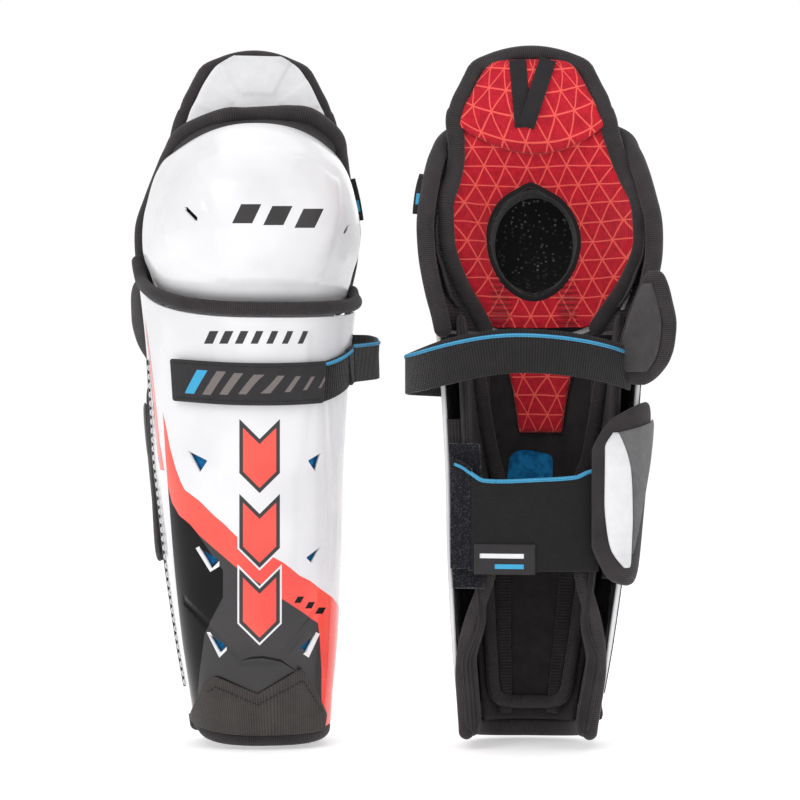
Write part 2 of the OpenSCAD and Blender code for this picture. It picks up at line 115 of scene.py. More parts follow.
BEND, SQUARE = 0.75, 0.87
half_w = table((0, 36.5), (25, 39.3), (52, 42.8), (80, 45.7), (107, 48), (135, 49.8), (160, 51.5),
               (190, 53.3), (220, 56), (250, 59.5), (262, 61))
back_y = table((0, 14), (150, 20.5), (190, 18), (215, 11), (262, 8))
cap_half_w = table((222, 47), (232, 49), (242, 51.5), (248, 53), (256, 55.5), (268, 59.7), (282, 61),
                   (300, 60), (315, 57.5), (327, 54), (335, 50), (339, 47))
cap_front = table((222, -43), (232, -46), (240, -49.5), (246, -56), (254, -65), (268, -74), (282, -77),
                  (300, -75), (315, -67), (327, -55), (335, -44), (339, -36))
cap_side = table((222, -6), (242, -6), (268, -4), (300, -4), (315, -5), (327, -7), (335, -10), (339, -13))
cap_drop = table((222, -16), (232, -10), (242, -4), (254, 0), (282, 0), (300, 2), (315, 6), (327, 11),
                 (335, 15), (339, 18))
pad_back = table((224, -2), (236, 4), (250, 11), (284, 10.5), (298, 6), (312, -5.4), (327, -7.1),
                 (336, -11))
leg_deep = table((222, -30), (250, -34), (280, -34), (300, -28), (320, -16), (335, -6), (350, 0), (387, 5))
leg_curl = table((222, 55), (290, 60), (320, 32), (335, 16), (350, 10), (387, 6))
liner_half_w = table((222, 33), (228, 35), (240, 41.3), (246, 44.8), (255, 49.5), (263, 52), (275, 55),
                     (287, 55), (297, 54), (307, 50.5), (315, 48.5), (323, 47), (330, 46.5), (341, 46),
                     (346.6, 44.3), (352, 42.5), (357.6, 39.5), (363, 36.8), (368.5, 33.6), (374, 29.5),
                     (378, 22), (380.5, 15), (383, 6))
shift_of = table((275, 0), (330, 3))


def lean(z):
    """How far the shin's middle leans to the inner side."""
    return 7 * np.maximum(0, 1 - z / 155)


def u_curve(s, w, front, side, back):
    """The U-shaped plan at s, from -1 to 1: w is its half width, the rest where it stands front to back."""
    turn = np.radians(90 * np.minimum(1, np.abs(s) / BEND))
    run = np.maximum(0, (np.abs(s) - BEND) / (1 - BEND))
    return (np.sign(s) * w * np.sin(turn) ** SQUARE,
            side - (side - front) * np.clip(np.cos(turn), 0, 1) ** SQUARE + run * (back - side))


def shin(s, z, inset=0.0):
    """The shin shell's surface, inset towards the leg."""
    x, y = u_curve(s, half_w(z) - inset, -41 - 0.06 * z + inset, -9 + 0.024 * z, back_y(z))
    return np.stack([x + lean(z), y, z + 0 * x], -1)


def collar_edge(s):
    """The height of the shell's upper edge."""
    return 232 + np.where(s < 0, 29, 12) * np.abs(s) ** 2.2


slope_in = table((270, 0), (290, 1.5), (305, 3.2), (320, 3.4), (339, 1.5))


def cap_point(s, z, w, front, side, back):
    """The plan at the knee, where the sides drop and draw in a little."""
    x, y = u_curve(s, w, front, side, back)
    x = np.where(x < 0, x * (1 - slope_in(z) / w),
                 x * (1 - 0.8 * slope_in(z) / w + 0.045 * np.clip((262 - z) / 22, 0, 1)))
    drop = cap_drop(z) * np.sin(np.radians(90 * np.minimum(1, np.abs(s) / BEND))) ** 2
    return np.stack([x, y, z - drop], -1)


def cap(s, z, inset=0.0):
    """The knee cap's surface."""
    side = cap_side(z)
    return cap_point(s * BEND, z, cap_half_w(z) - inset, cap_front(z) + inset, side, side)


def pad(s, z, front, edge, back):
    """The knee pad's surface: front, edge and back are its insets from the cap."""
    a = np.abs(s)
    inset = np.where(a < BEND, front + (edge - front) * np.clip(a / 0.55, 0, 1),
                     edge + (back - edge) * (a - BEND) / (1 - BEND))
    return cap_point(s, z, cap_half_w(z) - inset, cap_front(z) + inset, cap_side(z), pad_back(z))


def behind_leg(x, out, z):
    """A path along the lower strap, out behind it at the height z."""
    return np.stack([x, strap_y(x) + out, z + 0 * x], -1)[::-1]


def leg_y(x, z):
    """The liner's leg side, front to back."""
    return leg_deep(z) + leg_curl(z) * (np.abs(x) / 60) ** 2.4


def liner(x, z, t):
    """A point t in front of the liner's leg side."""
    k = (leg_y(np.abs(x) + 0.5, z) - leg_y(np.maximum(0, np.abs(x) - 0.5), z)) * np.sign(x)
    n = np.sqrt(1 + k * k)
    return np.stack([x + shift_of(z) + t * k / n, leg_y(x, z) - t / n, z + 0 * x], -1)


def seam_z(x):
    """Where the thigh flap meets the knee liner."""
    return 333 + 9 * (np.abs(x) / 46) ** 2


def strap_y(x):
    """The lower strap's curve behind the leg."""
    return 40.3 - 0.0043 * x * x


# ---- flat shapes ------------------------------------------------------------------------------------

def inside(points, polygon):
    """Which points lie inside a closed polygon."""
    x, y = points[:, 0], points[:, 1]
    p = np.asarray(polygon, float)
    q = np.roll(p, -1, 0)
    found = np.zeros(len(points), bool)
    for (ax, ay), (bx, by) in zip(p, q):
        if ay != by:
            crosses = (ay > y) != (by > y)
            found ^= crosses & (x < (bx - ax) * (y - ay) / (by - ay) + ax)
    return found


def distance(points, line, closed=True):
    """How far each point is from a polyline."""
    p = np.asarray(line, float)
    q = np.roll(p, -1, 0) if closed else p[1:]
    p = p if closed else p[:-1]
    best = np.full(len(points), 1e9)
    for a, b in zip(p, q):
        d = b - a
        t = np.clip(((points - a) @ d) / max(d @ d, 1e-12), 0, 1)
        best = np.minimum(best, np.linalg.norm(points - a - t[:, None] * d, axis=1))
    return best


def dense(line, step=2.5, closed=True):
    """The same polyline with points no further apart than step."""
    p = np.asarray(line, float)
    ends = np.roll(p, -1, 0) if closed else p[1:]
    starts = p if closed else p[:-1]
    out = []
    for a, b in zip(starts, ends):
        n = max(1, int(math.ceil(np.linalg.norm(b - a) / step)))
        out += [a + (b - a) * k / n for k in range(n)]
    if not closed:
        out.append(p[-1])
    return np.array(out)


def rounded(line, radius, closed=True, parts=4):
    """The polyline with its corners rounded."""
    p = np.asarray(line, float)
    n = len(p)
    out = []
    for i in range(n):
        if not closed and i in (0, n - 1):
            out.append(p[i])
            continue
        a, b, c = p[i - 1], p[i], p[(i + 1) % n]
        la, lc = np.linalg.norm(a - b), np.linalg.norm(c - b)
        r = min(radius, la * 0.45, lc * 0.45)
        s, e = b + (a - b) / la * r, b + (c - b) / lc * r
        for k in range(parts + 1):
            t = k / parts
            out.append((1 - t) ** 2 * s + 2 * t * (1 - t) * b + t * t * e)
    return np.array(out)


def seen_from_front(surface, points, scale):
    """Where points on the upright plane through y = 0, seen from the camera, land on guard a's surface.
    The answer is in the surface's own flat coordinates, its first one times scale."""
    target = np.asarray(points, float)
    u = np.clip((target[:, 0] + 77) / 55, -0.9, 0.9) * 0.5
    z = target[:, 1]

    def project(u, z):
        w = placed(surface(u, z), "a") * 1000
        k = VIEW_PLANE / (w[:, 1] - EYE[1])
        return np.stack([(w[:, 0] - EYE[0]) * k, EYE[2] + (w[:, 2] - EYE[2]) * k], -1)

    for _ in range(40):
        now = project(u, z)
        du = (project(u + 1e-3, z) - now) / 1e-3
        dz = (project(u, z + 0.1) - now) / 0.1
        miss = target - now
        det = du[:, 0] * dz[:, 1] - du[:, 1] * dz[:, 0]
        det = np.where(np.abs(det) < 1.5, 1.5 * np.where(det < 0, -1, 1), det)
        u = np.clip(u + np.clip((miss[:, 0] * dz[:, 1] - miss[:, 1] * dz[:, 0]) / det, -0.08, 0.08), -0.99,
                    0.99)
        z = z + np.clip((du[:, 0] * miss[:, 1] - du[:, 1] * miss[:, 0]) / det, -20, 20)
    return np.stack([u * scale, z], -1)


# ---- meshes -----------------------------------------------------------------------------------------

def finish_mesh(name, guard, points, faces, normals=None, uv=None, indices=None, materials=()):
    """Makes a Blender object from points in the guard's frame, with its flat coordinates in metres."""
    me = bpy.data.meshes.new(name)
    me.from_pydata([tuple(p) for p in placed(points, guard)], [], [tuple(int(i) for i in f) for f in faces])
    for m in materials:
        me.materials.append(m)
    if indices is not None:
        me.polygons.foreach_set("material_index", np.asarray(indices, np.int32))
    me.polygons.foreach_set("use_smooth", np.ones(len(me.polygons), bool))
    if uv is not None:
        layer = me.uv_layers.new(name="Flat")
        corner = np.zeros(len(me.loops), np.int32)
        me.loops.foreach_get("vertex_index", corner)
        layer.data.foreach_set("uv", (np.asarray(uv)[corner] / 1000).astype(np.float32).ravel())
    me.validate()
    me.update()
    if normals is not None:
        me.normals_split_custom_set_from_vertices([tuple(v) for v in unit(turned(normals, guard))])
    ob = bpy.data.objects.new(name, me)
    bpy.context.scene.collection.objects.link(ob)
    return ob


def sheet_piece(name, guard, surface, outline, thick, materials, paint=(), holes=(), lines=(), grid=3.0,
                flip=False, round_out=0.5, back=None, inner=None):
    """A thin piece cut from a curved surface: outline, holes and painted shapes are in flat coordinates.
    surface(u, v, inset) gives the points; paint is a list of (polygon, material number)."""
    outline = np.asarray(outline, float)
    loops = [outline] + [np.asarray(h, float) for h in holes]
    shapes = [np.asarray(p, float) for p, _ in paint] + [np.asarray(line, float) for line in lines]
    pts, edges = [], []
    for loop in loops + shapes:
        start, n = len(pts), len(loop)
        pts += [tuple(p) for p in loop]
        closed = not any(loop is line for line in shapes[len(paint):])
        edges += [(start + i, start + (i + 1) % n) for i in range(n if closed else n - 1)]
    lo, hi = outline.min(0), outline.max(0)
    gx, gy = np.meshgrid(np.arange(lo[0] + grid / 2, hi[0], grid), np.arange(lo[1] + grid / 2, hi[1], grid))
    gx = gx + (np.arange(gx.shape[0]) % 2)[:, None] * grid / 2
    field = np.stack([gx.ravel(), gy.ravel()], -1)
    field = field[inside(field, outline)]
    for h in loops[1:]:
        field = field[~inside(field, h)]
    near = np.full(len(field), 1e9)
    fixed = np.array(pts)
    for k in range(0, len(fixed), 400):
        gap = np.linalg.norm(field[:, None] - fixed[None, k:k + 400], axis=2).min(1)
        near = np.minimum(near, gap)
    field = field[near > grid * 0.42]
    made = delaunay_2d_cdt([Vector(p) for p in pts] + [Vector(p) for p in field], edges, [], 0, 1e-4)
    flat = np.array([tuple(v) for v in made[0]])
    tris = np.array([f for f in made[2] if len(f) == 3])
    a, b, c = flat[tris[:, 0]], flat[tris[:, 1]], flat[tris[:, 2]]
    area = (b[:, 0] - a[:, 0]) * (c[:, 1] - a[:, 1]) - (b[:, 1] - a[:, 1]) * (c[:, 0] - a[:, 0])
    tris[area < 0] = tris[area < 0][:, ::-1]
    middle = (a + b + c) / 3
    keep = inside(middle, outline) & (np.abs(area) > 1e-6)
    for h in loops[1:]:
        keep &= ~inside(middle, h)
    tris, middle = tris[keep], middle[keep]
    index = np.zeros(len(tris), int)
    for polygon, k in paint:
        index[inside(middle, np.asarray(polygon, float))] = k
    used = np.unique(tris)
    number = np.full(len(flat), -1)
    number[used] = np.arange(len(used))
    flat, tris = flat[used], number[tris]
    u, v = flat.T
    n = len(flat)
    
    under = inner if inner is not None else (lambda u, v: surface(u, v, thick))
    top = surface(u, v)
    e = 0.25
    normal = np.cross(surface(u + e, v) - surface(u - e, v), surface(u, v + e) - surface(u, v - e))
    normal = unit(normal)
    if flip:
        normal, tris = -normal, tris[:, ::-1]
    low = under(u, v)
    sides = {}
    for t, tri in enumerate(tris):
        for i in range(3):
            sides[(tri[i], tri[(i + 1) % 3])] = t
    rim = [(i, j, t) for (i, j), t in sides.items() if (j, i) not in sides]
    out = np.zeros((n, 3))
    for i, j, _ in rim:
        d = np.cross(top[j] - top[i], normal[i] + normal[j])
        d /= max(np.linalg.norm(d), 1e-9)
        out[i] += d
        out[j] += d
    length = np.linalg.norm(out, axis=1)
    out[length > 0] /= length[length > 0][:, None]
    points, normals, uvs = [top, low], [normal, -normal], [flat, flat]
    faces = [tuple(t) for t in tris] + [tuple(t[::-1] + n) for t in tris]
    numbers = list(index) + list(index if back is None else np.full(len(tris), back))
    edge = np.unique([k for r in rim for k in r[:2]])
    place_of = {k: i for i, k in enumerate(edge)}
    depth = np.linalg.norm(top - low, axis=1)[edge][:, None]
    o, nn = out[edge], normal[edge]
    rings = []
    for k in range(1, 4):
        t = math.pi * k / 4
        drop = (1 - math.cos(t)) / 2
        points.append(top[edge] * (1 - drop) + low[edge] * drop + o * depth * round_out * math.sin(t))
        normals.append(nn * math.cos(t) + o * math.sin(t))
        uvs.append(flat[edge] + 0.3 * k)
        rings.append(2 * n + (k - 1) * len(edge))
    for i, j, t in rim:
        a, b = place_of[i], place_of[j]
        chain_a = [i, rings[0] + a, rings[1] + a, rings[2] + a, i + n]
        chain_b = [j, rings[0] + b, rings[1] + b, rings[2] + b, j + n]
        for k in range(4):
            faces.append((chain_b[k], chain_a[k], chain_a[k + 1], chain_b[k + 1]))
            numbers.append(index[t])
    return finish_mesh(name, guard, np.concatenate(points), faces, np.concatenate(normals),
                       np.concatenate(uvs), numbers, materials)


def spread(n, crowd=0.0):
    """n + 1 numbers from -1 to 1, closer together towards the ends by crowd, from 0 to 1."""
    t = np.linspace(-1, 1, n + 1)
    return t * (1 - crowd) + np.sin(t * math.pi / 2) * crowd


def pad_piece(name, guard, outer, inner, size, materials, cells=(24, 24), round_u=8, round_v=8,
              painted=None, flip=False):
    """A closed padded piece between two surfaces over (-1..1, -1..1), thinning to rounded edges. size is
    its width and height, or a function that gives its flat coordinates."""
    us, vs = spread(cells[0], 0.75), spread(cells[1], 0.75)
    u, v = np.meshgrid(us, vs)
    o, i = outer(u, v), inner(u, v)
    fat = (np.sqrt(np.clip(1 - np.abs(u) ** round_u, 0, 1))
           * np.sqrt(np.clip(1 - np.abs(v) ** round_v, 0, 1)))[..., None]
    middle, half = (o + i) / 2, (o - i) / 2 * fat
    rows, cols = u.shape
    front = np.arange(rows * cols).reshape(rows, cols)
    rear = np.full((rows, cols), -1)
    inner_cells = np.zeros((rows, cols), bool)
    inner_cells[1:-1, 1:-1] = True
    rear[inner_cells] = rows * cols + np.arange(inner_cells.sum())
    rear[~inner_cells] = front[~inner_cells]
    points = np.concatenate([(middle + half).reshape(-1, 3), (middle - half)[inner_cells]])
    faces, numbers = [], []
    for r in range(rows - 1):
        for c in range(cols - 1):
            q = (front[r, c], front[r, c + 1], front[r + 1, c + 1], front[r + 1, c])
            w = (rear[r, c], rear[r + 1, c], rear[r + 1, c + 1], rear[r, c + 1])
            k = 0 if painted is None else painted((us[c] + us[c + 1]) / 2, (vs[r] + vs[r + 1]) / 2)
            for f in (q, w):
                f = f[::-1] if flip else f
                if len(set(f)) >= 3:
                    faces.append(tuple(dict.fromkeys(f)))
                    numbers.append(k)
    flat = size(u, v) if callable(size) else np.stack([u * size[0] / 2, v * size[1] / 2], -1)
    uvs = np.concatenate([flat.reshape(-1, 2), flat[inner_cells] + 3.7])
    return finish_mesh(name, guard, points, faces, None, uvs, numbers, materials)


def layers(surface, outer, inner):
    """The outer and inner faces of a pad: one surface with two sets of values."""
    return [lambda u, v, rest=rest if isinstance(rest, tuple) else (rest,): surface(u, v, *rest)
            for rest in (outer, inner)]


def lengthways(tall, across):
    """Flat coordinates that run up a piece first and across it second."""
    return lambda u, v: np.stack([v * tall, u * across], -1)


def shifted(half_x, x, half_z, z):
    """Flat coordinates about (x, z), so that a print runs on from piece to piece."""
    return lambda u, v: np.stack([u * half_x + x, v * half_z + z], -1)


def smooth_path(points, step=2.0, closed=False):
    """A Catmull-Rom curve through the points."""
    p = np.asarray(points, float)
    if closed:
        p = np.concatenate([p[-1:], p, p[:2]])
    else:
        p = np.concatenate([2 * p[:1] - p[1:2], p, 2 * p[-1:] - p[-2:-1]])
    out = []
    for i in range(1, len(p) - 2):
        a, b, c, d = p[i - 1:i + 3]
        n = max(2, int(np.linalg.norm(c - b) / step))
        for k in range(n):
            t = k / n
            out.append(0.5 * (2 * b + (c - a) * t + (2 * a - 5 * b + 4 * c - d) * t * t
                              + (3 * b - a - 3 * c + d) * t ** 3))
    if not closed:
        out.append(p[-2])
    return np.array(out)


def frames_along(path, up, closed=False):
    """Tangent, side and rise at each point of a path. up is one direction or one for each point."""
    ahead = np.roll(path, -1, 0) if closed else np.concatenate([path[1:], path[-1:]])
    behind = np.roll(path, 1, 0) if closed else np.concatenate([path[:1], path[:-1]])
    t = ahead - behind
    t = unit(t)
    side = np.cross(t, np.broadcast_to(np.asarray(up, float), t.shape))
    side = unit(side)
    return t, side, np.cross(side, t)


def tube_mesh(path, across, along, up, sides=18, closed=False, square=1.0):
    """Points, faces and flat coordinates of a padded roll along a path."""
    _, side, rise = frames_along(path, up, closed)
    n = len(path)
    run = lengths(path)
    a = np.broadcast_to(np.asarray(across, float), (n,)).copy()
    b = np.broadcast_to(np.asarray(along, float), (n,)).copy()
    if not closed:
        r = np.minimum(a, b)
        end = np.minimum(run, run[-1] - run)
        k = np.clip(end / r, 0, 1)
        f = np.sqrt(np.clip(1 - (1 - k) ** 2, 0, 1))
        f = np.maximum(f, 0.12)
        a, b = a * f, b * f
    ang = np.linspace(0, 2 * math.pi, sides, endpoint=False)
    ca, sa = np.cos(ang), np.sin(ang)
    ca, sa = np.sign(ca) * np.abs(ca) ** square, np.sign(sa) * np.abs(sa) ** square
    pts = (path[:, None] + a[:, None, None] * ca[None, :, None] * side[:, None] + b[:, None, None]
           * sa[None, :, None] * rise[:, None])
    faces = []
    for i in range(n if closed else n - 1):
        j = (i + 1) % n
        for k in range(sides):
            m = (k + 1) % sides
            faces.append((i * sides + k, i * sides + m, j * sides + m, j * sides + k))
    if not closed:
        faces.append(tuple(range(sides - 1, -1, -1)))
        faces.append(tuple((n - 1) * sides + k for k in range(sides)))
    around = ang * (np.mean(a) + np.mean(b)) / 2
    uv = np.stack(np.broadcast_arrays(run[:, None], around[None]), -1).reshape(-1, 2)
    return pts.reshape(-1, 3), faces, uv


def refine_ends(path, r):
    """Adds points close to both ends, so that a rounded end is round."""
    d0, d1 = path[1] - path[0], path[-2] - path[-1]
    d0, d1 = d0 / np.linalg.norm(d0), d1 / np.linalg.norm(d1)
    extra = r * np.array([0.05, 0.15, 0.3, 0.5, 0.75, 1.0])
    run = lengths(path)
    keep = path[(run > r * 1.2) & (run < run[-1] - r * 1.2)]
    return np.concatenate([[path[0]], [path[0] + d0 * e for e in extra], keep,
                           [path[-1] + d1 * e for e in extra[::-1]], [path[-1]]])


def roll_piece(name, guard, paths, across, along, up, material, sides=18, closed=False, square=1.0,
               step=2.0):
    """One or more padded rolls as one piece."""
    points, faces, uvs, start = [], [], [], 0
    for path in paths:
        path = smooth_path(path, step, closed)
        if not closed:
            path = refine_ends(path, min(across, along))
        p, f, w = tube_mesh(path, across, along, up, sides, closed, square)
        points.append(p)
        uvs.append(w)
        faces += [tuple(i + start for i in face) for face in f]
        start += len(p)
    return finish_mesh(name, guard, np.concatenate(points), faces, None, np.concatenate(uvs), None,
                       [material])


def stitch_piece(name, guard, rows, material, pitch=3.2, length=2.2, width=0.55):
    """Rows of stitches: each row is (path, the direction that faces out at each of its points)."""
    ring = np.linspace(0, 2 * math.pi, 6, endpoint=False)
    points, faces, start = [], [], 0
    for path, out in rows:
        path = np.asarray(path, float)
        out = np.broadcast_to(np.asarray(out, float), path.shape)
        run = lengths(path)
        for s in np.arange(pitch / 2, run[-1], pitch):
            c = np.array([np.interp(s, run, path[:, k]) for k in range(3)])
            a = np.array([np.interp(s - length / 2, run, path[:, k]) for k in range(3)])
            b = np.array([np.interp(s + length / 2, run, path[:, k]) for k in range(3)])
            o = np.array([np.interp(s, run, out[:, k]) for k in range(3)])
            o /= np.linalg.norm(o)
            t = (b - a) / max(np.linalg.norm(b - a), 1e-9)
            side = np.cross(t, o)
            for x, r in ((-0.5, 0.25), (-0.4, 0.8), (0, 1.0), (0.4, 0.8), (0.5, 0.25)):
                lift = (0.25 - x * x) * width * 1.6
                points += [c + t * x * length + o * (lift + r * width / 2 * math.sin(w)) + side * r
                           * width / 2 * math.cos(w) for w in ring]
            for k in range(4):
                for m in range(6):
                    q = (m + 1) % 6
                    faces.append((start + k * 6 + m, start + k * 6 + q, start + (k + 1) * 6 + q,
                                  start + (k + 1) * 6 + m))
            faces.append(tuple(start + m for m in range(5, -1, -1)))
            faces.append(tuple(start + 24 + m for m in range(6)))
            start += 30
    uv = np.zeros((len(points), 2))
    return finish_mesh(name, guard, np.array(points), faces, None, uv, None, [material])


# ---- materials --------------------------------------------------------------------------------------

def rgb(r, g, b):
    """An sRGB colour from 0 to 255, made linear."""
    return tuple(((c / 255 + 0.055) / 1.055) ** 2.4 if c > 10 else c / 255 / 12.92
                 for c in (r, g, b)) + (1.0,)


class Finish:
    """A material under construction, with short names for its nodes."""

    def __init__(self, name, rough=0.6, coat=0.0, sheen=0.0, specular=0.5, coat_rough=0.06):
        self.m = bpy.data.materials.new(name)
        self.m.use_nodes = True
        self.t = self.m.node_tree
        self.b = self.t.nodes["Principled BSDF"]
        self.b.inputs["Roughness"].default_value = rough
        self.b.inputs["Coat Weight"].default_value = coat
        self.b.inputs["Coat Roughness"].default_value = coat_rough
        self.b.inputs["Sheen Weight"].default_value = sheen
        self.b.inputs["Sheen Roughness"].default_value = 0.45
        self.b.inputs["Specular IOR Level"].default_value = specular
        self.height = None

    def node(self, kind, **settings):
        n = self.t.nodes.new(kind)
        for k, v in settings.items():
            setattr(n, k, v)
        return n

    def put(self, socket, value):
        if isinstance(value, bpy.types.NodeSocket):
            self.t.links.new(value, socket)
        else:
            socket.default_value = value

    def calc(self, op, *values):
        n = self.node("ShaderNodeMath", operation=op)
        for i, v in enumerate(values):
            self.put(n.inputs[i], v)
        return n.outputs[0]

    def flat(self):
        """The piece's own flat coordinates, in millimetres."""
        n = self.node("ShaderNodeUVMap", uv_map="Flat")
        x = self.node("ShaderNodeSeparateXYZ")
        self.t.links.new(n.outputs[0], x.inputs[0])
        return self.calc("MULTIPLY", x.outputs[0], 1000.0), self.calc("MULTIPLY", x.outputs[1], 1000.0)

    def noise(self, scale, detail=3.0, rough=0.5, kind="ShaderNodeTexNoise"):
        n = self.node(kind)
        n.inputs["Scale"].default_value = scale
        if kind == "ShaderNodeTexNoise":
            n.inputs["Detail"].default_value = detail
            n.inputs["Roughness"].default_value = rough
        c = self.node("ShaderNodeTexCoord")
        self.t.links.new(c.outputs["Object"], n.inputs["Vector"])
        return n.outputs[0]

    def wave(self, x, pitch, power=1.0):
        """0 to 1 and back every pitch along x."""
        w = self.calc("SINE", self.calc("MULTIPLY", x, 2 * math.pi / pitch))
        w = self.calc("MULTIPLY_ADD", w, 0.5, 0.5)
        return w if power == 1.0 else self.calc("POWER", w, power)

    def step(self, value, low, high):
        n = self.node("ShaderNodeMapRange", interpolation_type="SMOOTHSTEP")
        self.put(n.inputs["Value"], value)
        n.inputs["From Min"].default_value = low
        n.inputs["From Max"].default_value = high
        return n.outputs["Result"]

    def mix(self, share, a, b):
        n = self.node("ShaderNodeMix", data_type="RGBA")
        self.put(n.inputs[0], share)
        self.put(n.inputs[6], a)
        self.put(n.inputs[7], b)
        return n.outputs[2]

    def colour(self, value):
        self.put(self.b.inputs["Base Color"], value)

    def roughness(self, value):
        self.put(self.b.inputs["Roughness"], value)

    def bump(self, height, distance, strength=1.0):
        n = self.node("ShaderNodeBump")
        n.inputs["Strength"].default_value = strength
        n.inputs["Distance"].default_value = distance
        self.put(n.inputs["Height"], height)
        self.t.links.new(n.outputs[0], self.b.inputs["Normal"])
        return self


def moulded(name, colour, shade, rough=0.16, coat=0.5, specular=0.5):
    """Glossy moulded plastic with faint waves, fine scuffs and a little colour drift."""
    f = Finish(name, rough, coat=coat, specular=specular)
    drift = f.noise(28.0, 2.0)
    f.colour(f.mix(f.step(drift, 0.35, 0.7), colour, shade))
    scuff = f.noise(420.0, 5.0, 0.75)
    f.roughness(f.calc("MULTIPLY_ADD", f.step(scuff, 0.55, 0.75), 0.22, rough))
    f.bump(f.calc("MULTIPLY_ADD", f.noise(60.0, 2.0), 1.0, f.calc("MULTIPLY", scuff, 0.05)), 0.00035, 0.35)
    return f.m


def ribbed(name, colour, dark, pitch=1.1, cross=0.9, sheen=0.25, depth=0.00022, rough=0.85):
    """Stretch fabric with fine ribs across the piece's length."""
    f = Finish(name, rough, sheen=sheen, specular=0.25)
    x, y = f.flat()
    rib = f.wave(x, pitch)
    thread = f.wave(y, cross)
    h = f.calc("MULTIPLY_ADD", thread, 0.35, rib)
    # the colour drifts at random in tone, and the ribs' hollows are painted darker than their crests: painted
    # shade
    drift = f.noise(90.0, 4.0, 0.6)
    share = f.calc("MULTIPLY_ADD", drift, 0.7, f.calc("MULTIPLY", h, 0.45))
    f.colour(f.mix(f.step(share, 0.15, 1.05), dark, colour))
    f.bump(f.calc("MULTIPLY_ADD", f.noise(900.0, 2.0), 0.5, h), depth, 0.8)
    return f.m


def woven(name, colour, dark, pitch=0.9, sheen=0.2, depth=0.00018, rough=0.85, mottled=0.6, slant=0.0):
    """Plain woven or knitted cloth: two sets of threads."""
    f = Finish(name, rough, sheen=sheen, specular=0.25)
    x, y = f.flat()
    if slant:
        x, y = f.calc("MULTIPLY_ADD", y, slant, x), f.calc("MULTIPLY_ADD", x, -slant, y)
    h = f.calc("MULTIPLY", f.wave(x, pitch), f.wave(y, pitch))
    h2 = f.calc("MULTIPLY", f.wave(f.calc("ADD", x, pitch / 2), pitch),
                f.wave(f.calc("ADD", y, pitch / 2), pitch))
    h = f.calc("ADD", h, h2)
    # the colour drifts at random in tone, and the hollows between threads are painted darker than the thread
    # crossings: painted shade
    drift = f.noise(140.0, 4.0, 0.65)
    f.colour(f.mix(f.step(f.calc("MULTIPLY_ADD", drift, mottled, f.calc("MULTIPLY", h, 0.5)), 0.15, 0.95),
                   dark, colour))
    f.bump(f.calc("MULTIPLY_ADD", f.noise(1100.0, 2.0), 0.3, h), depth, 0.8)
    return f.m


def lattice(name, cloth, shadow, line, side=11.8, width=0.72):
    """Printed cloth with a lattice of triangles, on a fine knit."""
    f = Finish(name, 0.8, sheen=0.2, specular=0.25)
    x, y = f.flat()
    wander = f.calc("MULTIPLY_ADD", f.noise(38.0, 1.0), 3.0, -1.5)
    x = f.calc("ADD", x, wander)
    y = f.calc("MULTIPLY_ADD", wander, 0.8, y)
    d = side * 0.866
    ink = None
    for angle in (90, 30, 150):
        a = math.radians(angle)
        along = f.calc("MULTIPLY_ADD", y, math.sin(a) / d, f.calc("MULTIPLY", x, math.cos(a) / d))
        near = f.calc("PINGPONG", along, 0.5)
        one = f.calc("SUBTRACT", 1.0, f.step(near, width / d * 0.35, width / d * 0.75))
        ink = one if ink is None else f.calc("MAXIMUM", ink, one)
    knit = f.calc("MULTIPLY", f.wave(x, 0.8), f.wave(y, 0.6))
    rows = f.wave(f.calc("ADD", y, f.calc("MULTIPLY", f.noise(200.0), 0.9)), 1.3)
    base = f.mix(f.step(f.calc("MULTIPLY_ADD", f.noise(260.0, 4.0, 0.7), 0.8,
                               f.calc("MULTIPLY", knit, 0.5)), 0.2, 0.85), shadow, cloth)
    f.colour(f.mix(f.calc("MULTIPLY", ink, f.calc("MULTIPLY_ADD", knit, 0.2, 0.75)), base, line))
    h = f.calc("MULTIPLY_ADD", ink, 0.6, f.calc("MULTIPLY_ADD", rows, 0.25, f.calc("MULTIPLY", knit, 0.35)))
    f.bump(h, 0.0003, 0.7)
    return f.m


def webbing(name, colour, dark, pitch=1.5, row=1.25):
    """Narrow woven tape: ribs across it, broken into rows of small knots."""
    f = Finish(name, 0.8, sheen=0.15, specular=0.3)
    x, y = f.flat()
    rib = f.wave(x, pitch, 0.7)
    knot = f.wave(f.calc("MULTIPLY_ADD", f.calc("FLOOR", f.calc("DIVIDE", x, pitch)), row / 2, y), row)
    h = f.calc("MULTIPLY", rib, f.calc("MULTIPLY_ADD", knot, 0.6, 0.4))
    # the colour drifts a little at random, and the hollows between ribs and knots are painted darker than
    # their crests: painted shade
    f.colour(f.mix(f.step(f.calc("MULTIPLY_ADD", f.noise(150.0, 3.0), 0.4, f.calc("MULTIPLY", h, 0.8)),
                          0.1, 1.0), dark, colour))
    f.bump(h, 0.0005, 0.9)
    return f.m


